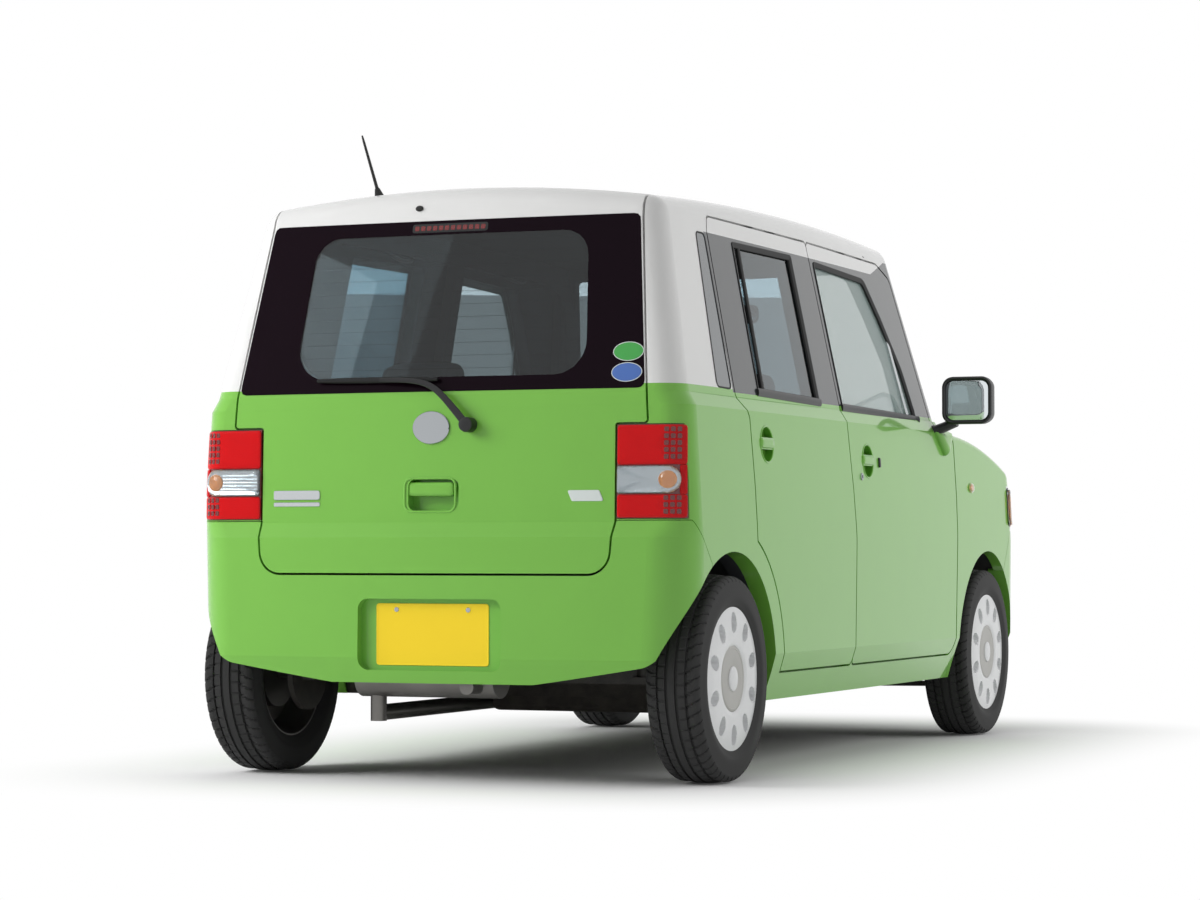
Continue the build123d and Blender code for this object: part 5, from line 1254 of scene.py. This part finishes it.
class KEI_OT_steering(bpy.types.Operator):
    """Model the steering wheel: a grip rim, three spokes and a plain centre pad"""
    bl_idname = "kei.steering"
    bl_label = "Steering Wheel"

    def execute(self, context):
        t = np.linspace(0, 2 * math.pi, 120, endpoint=False)
        rim_path = on_wheel(STEERING_R * np.sin(t), STEERING_R * np.cos(t), 0 * t)
        grip = 1 + 0.07 * np.exp(-((np.abs(np.sin(t)) - 0.94) / 0.05) ** 2)
        rim = carried(rim_path, circle(0.0146, 24), COLUMN_AXIS, scale=grip, wrap=True)
        spokes = []
        for angle in (math.pi / 2, -math.pi / 2, math.pi):
            s = np.linspace(0.045, STEERING_R - 0.002, 16)
            path = on_wheel(s * math.sin(angle), s * math.cos(angle), 0.014 - 0.10 * (s - 0.045))
            spokes.append(carried(path, circle(0.017, 20, 0.36), COLUMN_AXIS, scale=1.25 - 2.6 * (s - 0.045)))
        piece("steering_rim", [rim, *spokes], "satin_black", "steering_wheel", replaces=["steering_wheel"])
        hub = pillow(rounded([(-0.066, 0.040), (0.066, 0.040), (0.052, -0.052), (-0.052, -0.052)], 0.030,
                             10), on_wheel,
                     [(0.012, -0.050), (0.008, -0.012), (0, 0.004), (0.001, 0.014), (0.006, 0.021),
                      (0.014, 0.025)], 120)
        disc = pillow(oval(0, 0.002, 0.036, 0.030, 48), on_wheel,
                      [(0, 0.024), (0, 0.0262), (0.002, 0.0272)], 48)
        piece("steering_pad", [hub], "trim_plastic", "steering_wheel")
        piece("steering_plain_badge", [disc], "badge_silver", "steering_wheel")
        return {"FINISHED"}


def on_dash(u, v, out):
    """The face of the dashboard that looks rearwards: u across the car, v up, out towards the seats."""
    face = np.interp(v, [0.66, 0.78, 0.90, 0.965], [0.505, 0.440, 0.470, 0.545])
    return np.stack([face - out, u + 0 * face, v + 0 * face], -1)


class KEI_OT_cabin(bpy.types.Operator):
    """Model the dashboard's instruments and vents, the door armrests and the grab handles"""
    bl_idname = "kei.cabin"
    bl_label = "Cabin Fittings"

    def execute(self, context):
        bezel, panes = [], []
        rows = [(0, -0.030), (0, 0.004), (0.004, 0.010), (0.010, 0.006), (0.012, 0.003)]
        screen, controls = (0.0, 0.835, 0.230, 0.120, 0.015), (0.0, 0.715, 0.220, 0.075, 0.012)
        for u, v, width, height, corner in (screen, controls):
            bezel.append(pillow(box_outline(u, v, width, height, corner), on_dash, rows, 120))
            panes.append(pillow(box_outline(u, v, width - 0.036, height - 0.030, 0.006), on_dash,
                                [(0, 0.000), (0, 0.0042), (0.002, 0.0048)], 96))
        for u in (-0.56, -0.165, 0.165, 0.56):
            bezel.append(pillow(oval(u, 0.875, 0.085, 0.075, 48), on_dash, rows, 48))
            panes += [pillow(box_outline(u, 0.875 + k, 0.050, 0.004, 0.001, 3), on_dash,
                             [(0, 0.002), (0, 0.0062), (0.0005, 0.0066)], 16)
                      for k in (-0.016, -0.008, 0.0, 0.008, 0.016)]
        hood = pillow(rounded([(-0.235, 0.865), (-0.435, 0.865), (-0.415, 0.975), (-0.255, 0.975)], 0.035,
                              10), on_dash,
                      [(0, -0.060), (0, 0.020), (0.005, 0.034), (0.012, 0.030), (0.014, 0.010)], 120)
        dials = [pillow(oval(u, 0.925, 0.070, 0.070, 48), on_dash,
                        [(0, 0.002), (0, 0.0135), (0.002, 0.0150), (0.004, 0.0125)], 48)
                 for u in (-0.375, -0.295)]
        piece("dash_bezels", bezel + [hood], "trim_plastic", "body")
        piece("dash_panes", panes + dials, "ceramic_black", "body")
        for side, sign in SIDES.items():
            for end, x in (("front", 0.02), ("rear", -0.82)):
                t = np.linspace(0, 1, 41)
                drop = np.sin(t * math.pi) ** 0.35
                path = np.stack([x + 0.19 * t, sign * (0.594 - 0.056 * drop), 1.541 - 0.056 * drop], -1)
                handle = carried(path, circle(0.0095, 16, 0.6), (0, 0, 1), scale=1.25 - 0.25 * drop)
                piece(f"{end}_grab_handle_{side}", [handle], "trim_plastic", "body")
            place = on_side(sign)
            inner = lambda u, v, out: place(u, v, -0.0548 - out)
            for end, x in (("front", 0.02), ("rear", -0.80)):
                rest = pillow(box_outline(x, 0.715, 0.330, 0.062, 0.028), inner,
                              [(0, -0.004), (0, 0.030), (0.006, 0.042), (0.016, 0.046)], 128)
                pocket = pillow(box_outline(x, 0.46, 0.300, 0.130, 0.030), inner,
                                [(0, -0.004), (0, 0.010), (0.006, 0.018), (0.012, 0.016), (0.016, 0.008)],
                                128)
                card = pillow(box_outline(x, 0.86, 0.400, 0.130, 0.030), inner,
                              [(0, -0.003), (0, 0.004), (0.004, 0.008), (0.010, 0.0095)], 128)
                piece(f"{end}_armrest_{side}", [rest, pocket], "trim_plastic", f"{end}_door_{side}")
                piece(f"{end}_door_card_{side}", [card], "seat_side", f"{end}_door_{side}")
        return {"FINISHED"}


# ---------------------------------------------------------------- stage
CAMERA_PLACE = (-9.4706, -3.7044, 0.6233)
CAMERA_YAW, CAMERA_PITCH = math.radians(22.4447), math.radians(1.75297)
LENS_MM, SENSOR_MM = 97.376, 36.0
FLOOR_BOX = (1.35, 0.45, 0.0)       # half sizes of the box round the car from which the floor fades
FADE_FROM, FADE_TO = 0.10, 1.1      # distances beyond it
LAMPS = (   # name, place, aim, size, share of the key's power
    ("key_lamp", (-5.0, 5.5, 5.5), (-0.8, 0, 0.7), (7.0, 4.5), 1.0),
    ("left_lamp", (-4.4, 3.8, 2.7), (-1.0, 0, 0.7), (3.0, 2.0), 0.8),
    ("side_lamp", (2.2, -6.5, 3.4), (0.6, 0, 0.7), (8.0, 4.0), 1.0),
    ("front_lamp", (6.5, 3.0, 3.4), (1.0, 0, 0.7), (4.0, 3.0), 0.6),
)


def camera_and_rays(tree):
    """One where a ray comes from the camera, a mirror or a pane of glass."""
    path = add(tree, "ShaderNodeLightPath").outputs
    seen = calc(tree, "MAXIMUM", path["Is Camera Ray"], path["Is Glossy Ray"])
    return calc(tree, "MAXIMUM", seen, path["Is Transmission Ray"])


def floor_material():
    """A pale floor that shows the shadow near the car and fades to plain white away from the car's box."""
    material = bpy.data.materials.new("pale_floor")
    material.use_nodes = True
    tree = material.node_tree
    tree.nodes.clear()
    coordinates, _ = place_axes(tree)
    flat = add(tree, "ShaderNodeVectorMath", {0: coordinates}, operation="ABSOLUTE").outputs[0]
    beyond = add(tree, "ShaderNodeVectorMath", {0: flat, 1: FLOOR_BOX}, operation="SUBTRACT").outputs[0]
    beyond = add(tree, "ShaderNodeVectorMath", {0: beyond, 1: (0, 0, 0)}, operation="MAXIMUM").outputs[0]
    far = add(tree, "ShaderNodeVectorMath", {0: beyond}, operation="LENGTH").outputs["Value"]
    fade = add(tree, "ShaderNodeMapRange", {"Value": far, 1: FADE_FROM, 2: FADE_TO, 3: 0.0, 4: 1.0},
               interpolation_type="SMOOTHSTEP")
    matte = add(tree, "ShaderNodeBsdfDiffuse", {"Color": (0.93, 0.93, 0.93, 1)}).outputs[0]
    white = add(tree, "ShaderNodeEmission", {"Color": (1, 1, 1, 1), "Strength": 1.0}).outputs[0]
    factor = calc(tree, "MULTIPLY", fade.outputs[0], camera_and_rays(tree))
    blend = add(tree, "ShaderNodeMixShader", {0: factor, 1: matte, 2: white}).outputs[0]
    add(tree, "ShaderNodeOutputMaterial", {0: blend})
    return material


def soft_lamp(name, place, aim, size, watts):
    """A soft rectangle of light that mirrors and glossy paint don't show."""
    light = bpy.data.lights.new(name, "AREA")
    light.shape, light.size, light.size_y, light.energy = "RECTANGLE", size[0], size[1], watts
    lamp = bpy.data.objects.new(name, light)
    lamp.location = place
    lamp.rotation_euler = (Vector(aim) - Vector(place)).to_track_quat("-Z", "Y").to_euler()
    lamp.visible_glossy = False
    bpy.context.scene.collection.objects.link(lamp)


class KEI_OT_stage(bpy.types.Operator):
    """Add the pale floor, the white surroundings, the soft lamps and the camera"""
    bl_idname = "kei.stage"
    bl_label = "Stage, Light and Camera"

    def execute(self, context):
        scene, settings = context.scene, context.scene.kei_car
        scene.view_settings.view_transform = "Standard"
        half = settings.floor_size / 2
        corners = np.array([(-half, -half, 0), (half, -half, 0), (half, half, 0), (-half, half, 0)])
        mesh = bpy.data.meshes.new("floor")
        mesh.from_pydata(corners.tolist(), [], [(0, 1, 2, 3)])
        mesh.materials.append(floor_material())
        floor = bpy.data.objects.new("floor", mesh)
        scene.collection.objects.link(floor)
        world = bpy.data.worlds.new("white_studio")
        world.use_nodes = True
        scene.world = world
        tree = world.node_tree
        tree.nodes.clear()
        strength = add(tree, "ShaderNodeMapRange", {"Value": camera_and_rays(tree),
                                                    3: settings.sky_strength, 4: 1.0})
        sky = add(tree, "ShaderNodeBackground", {"Color": (1, 1, 1, 1), "Strength": strength.outputs[0]})
        add(tree, "ShaderNodeOutputWorld", {0: sky.outputs[0]})
        for name, place, aim, size, share in LAMPS:
            soft_lamp(name, place, aim, size, settings.key_watts * share)
        camera = bpy.data.cameras.new("camera")
        camera.lens, camera.sensor_width = LENS_MM, SENSOR_MM
        camera.clip_end = 200
        viewer = bpy.data.objects.new("camera", camera)
        viewer.location = CAMERA_PLACE
        viewer.rotation_euler = (math.pi / 2 + CAMERA_PITCH, 0, CAMERA_YAW - math.pi / 2)
        scene.collection.objects.link(viewer)
        scene.camera = viewer
        return {"FINISHED"}


# ---------------------------------------------------------------- settings, panel and running
def colour_setting(name, description, code):
    """A colour property whose default is a six-digit sRGB code."""
    return bpy.props.FloatVectorProperty(
        name=name, description=description, default=rgb(code)[:3], size=3, min=0, max=1, subtype="COLOR")


class KeiCarSettings(bpy.types.PropertyGroup):
    """Sizes and colours of the dressing"""
    lower_colour: colour_setting("Lower Colour", "Paint below the windows", "78BA48")
    upper_colour: colour_setting("Upper Colour", "Paint of the roof and its pillars", "E4E4E3")
    sash_colour: colour_setting("Sash Colour", "Finish of the window frames and screen pillars", "1C2226")
    lining_colour: colour_setting("Lining Colour", "Cabin side of the panels", "3A3B3F")
    plate_colour: colour_setting("Plate Colour", "Number plates", "F6C40C")
    tread_depth: bpy.props.FloatProperty(
        name="Tread Depth", description="Depth of the tyre grooves", default=0.0058, min=0.001, max=0.01,
        subtype="DISTANCE", unit="LENGTH")
    tread_pitches: bpy.props.IntProperty(
        name="Tread Pitches", description="Tread blocks round a tyre", default=56, min=20, max=90)
    cover_holes: bpy.props.IntProperty(
        name="Cover Holes", description="Scooped holes round a wheel cover", default=10, min=5, max=16)
    demister_lines: bpy.props.IntProperty(
        name="Demister Lines", description="Heating wires on the rear window", default=11, min=1, max=20)
    floor_size: bpy.props.FloatProperty(
        name="Floor Size", description="Width of the square floor", default=80.0, min=10, max=200,
        subtype="DISTANCE", unit="LENGTH")
    key_watts: bpy.props.FloatProperty(
        name="Key Light", description="Power of the main soft lamp", default=190.0, min=0, max=5000,
        subtype="POWER", unit="POWER")
    sky_strength: bpy.props.FloatProperty(
        name="Sky Strength", description="Light from the white surroundings", default=0.30, min=0, max=2)


STEPS = (KEI_OT_paint, KEI_OT_tyres, KEI_OT_wheel_covers, KEI_OT_tail_lamps, KEI_OT_rear_window,
         KEI_OT_rear_wiper, KEI_OT_front_wipers, KEI_OT_rear_badges, KEI_OT_side_windows,
         KEI_OT_door_fittings, KEI_OT_antenna, KEI_OT_mirrors, KEI_OT_head_lamps, KEI_OT_front_details,
         KEI_OT_seats, KEI_OT_steering, KEI_OT_cabin, KEI_OT_stage)


class KEI_PT_dressing(bpy.types.Panel):
    """Lists the car's settings and the pieces to add"""
    bl_idname = "KEI_PT_dressing"
    bl_label = "Kei Car Dressing"
    bl_space_type = "VIEW_3D"
    bl_region_type = "UI"
    bl_category = "Kei Car"

    def draw(self, context):
        for name in KeiCarSettings.__annotations__:
            self.layout.prop(context.scene.kei_car, name)
        for step in STEPS:
            self.layout.operator(step.bl_idname)


CLASSES = (KeiCarSettings, *STEPS, KEI_PT_dressing)


def register():
    for cls in CLASSES:
        bpy.utils.register_class(cls)
    bpy.types.Scene.kei_car = bpy.props.PointerProperty(type=KeiCarSettings)


def unregister():
    del bpy.types.Scene.kei_car
    for cls in reversed(CLASSES):
        bpy.utils.unregister_class(cls)


def main():
    register()
    for step in STEPS:
        space, name = step.bl_idname.split(".")
        getattr(getattr(bpy.ops, space), name)()


if __name__ == "__main__":
    main()
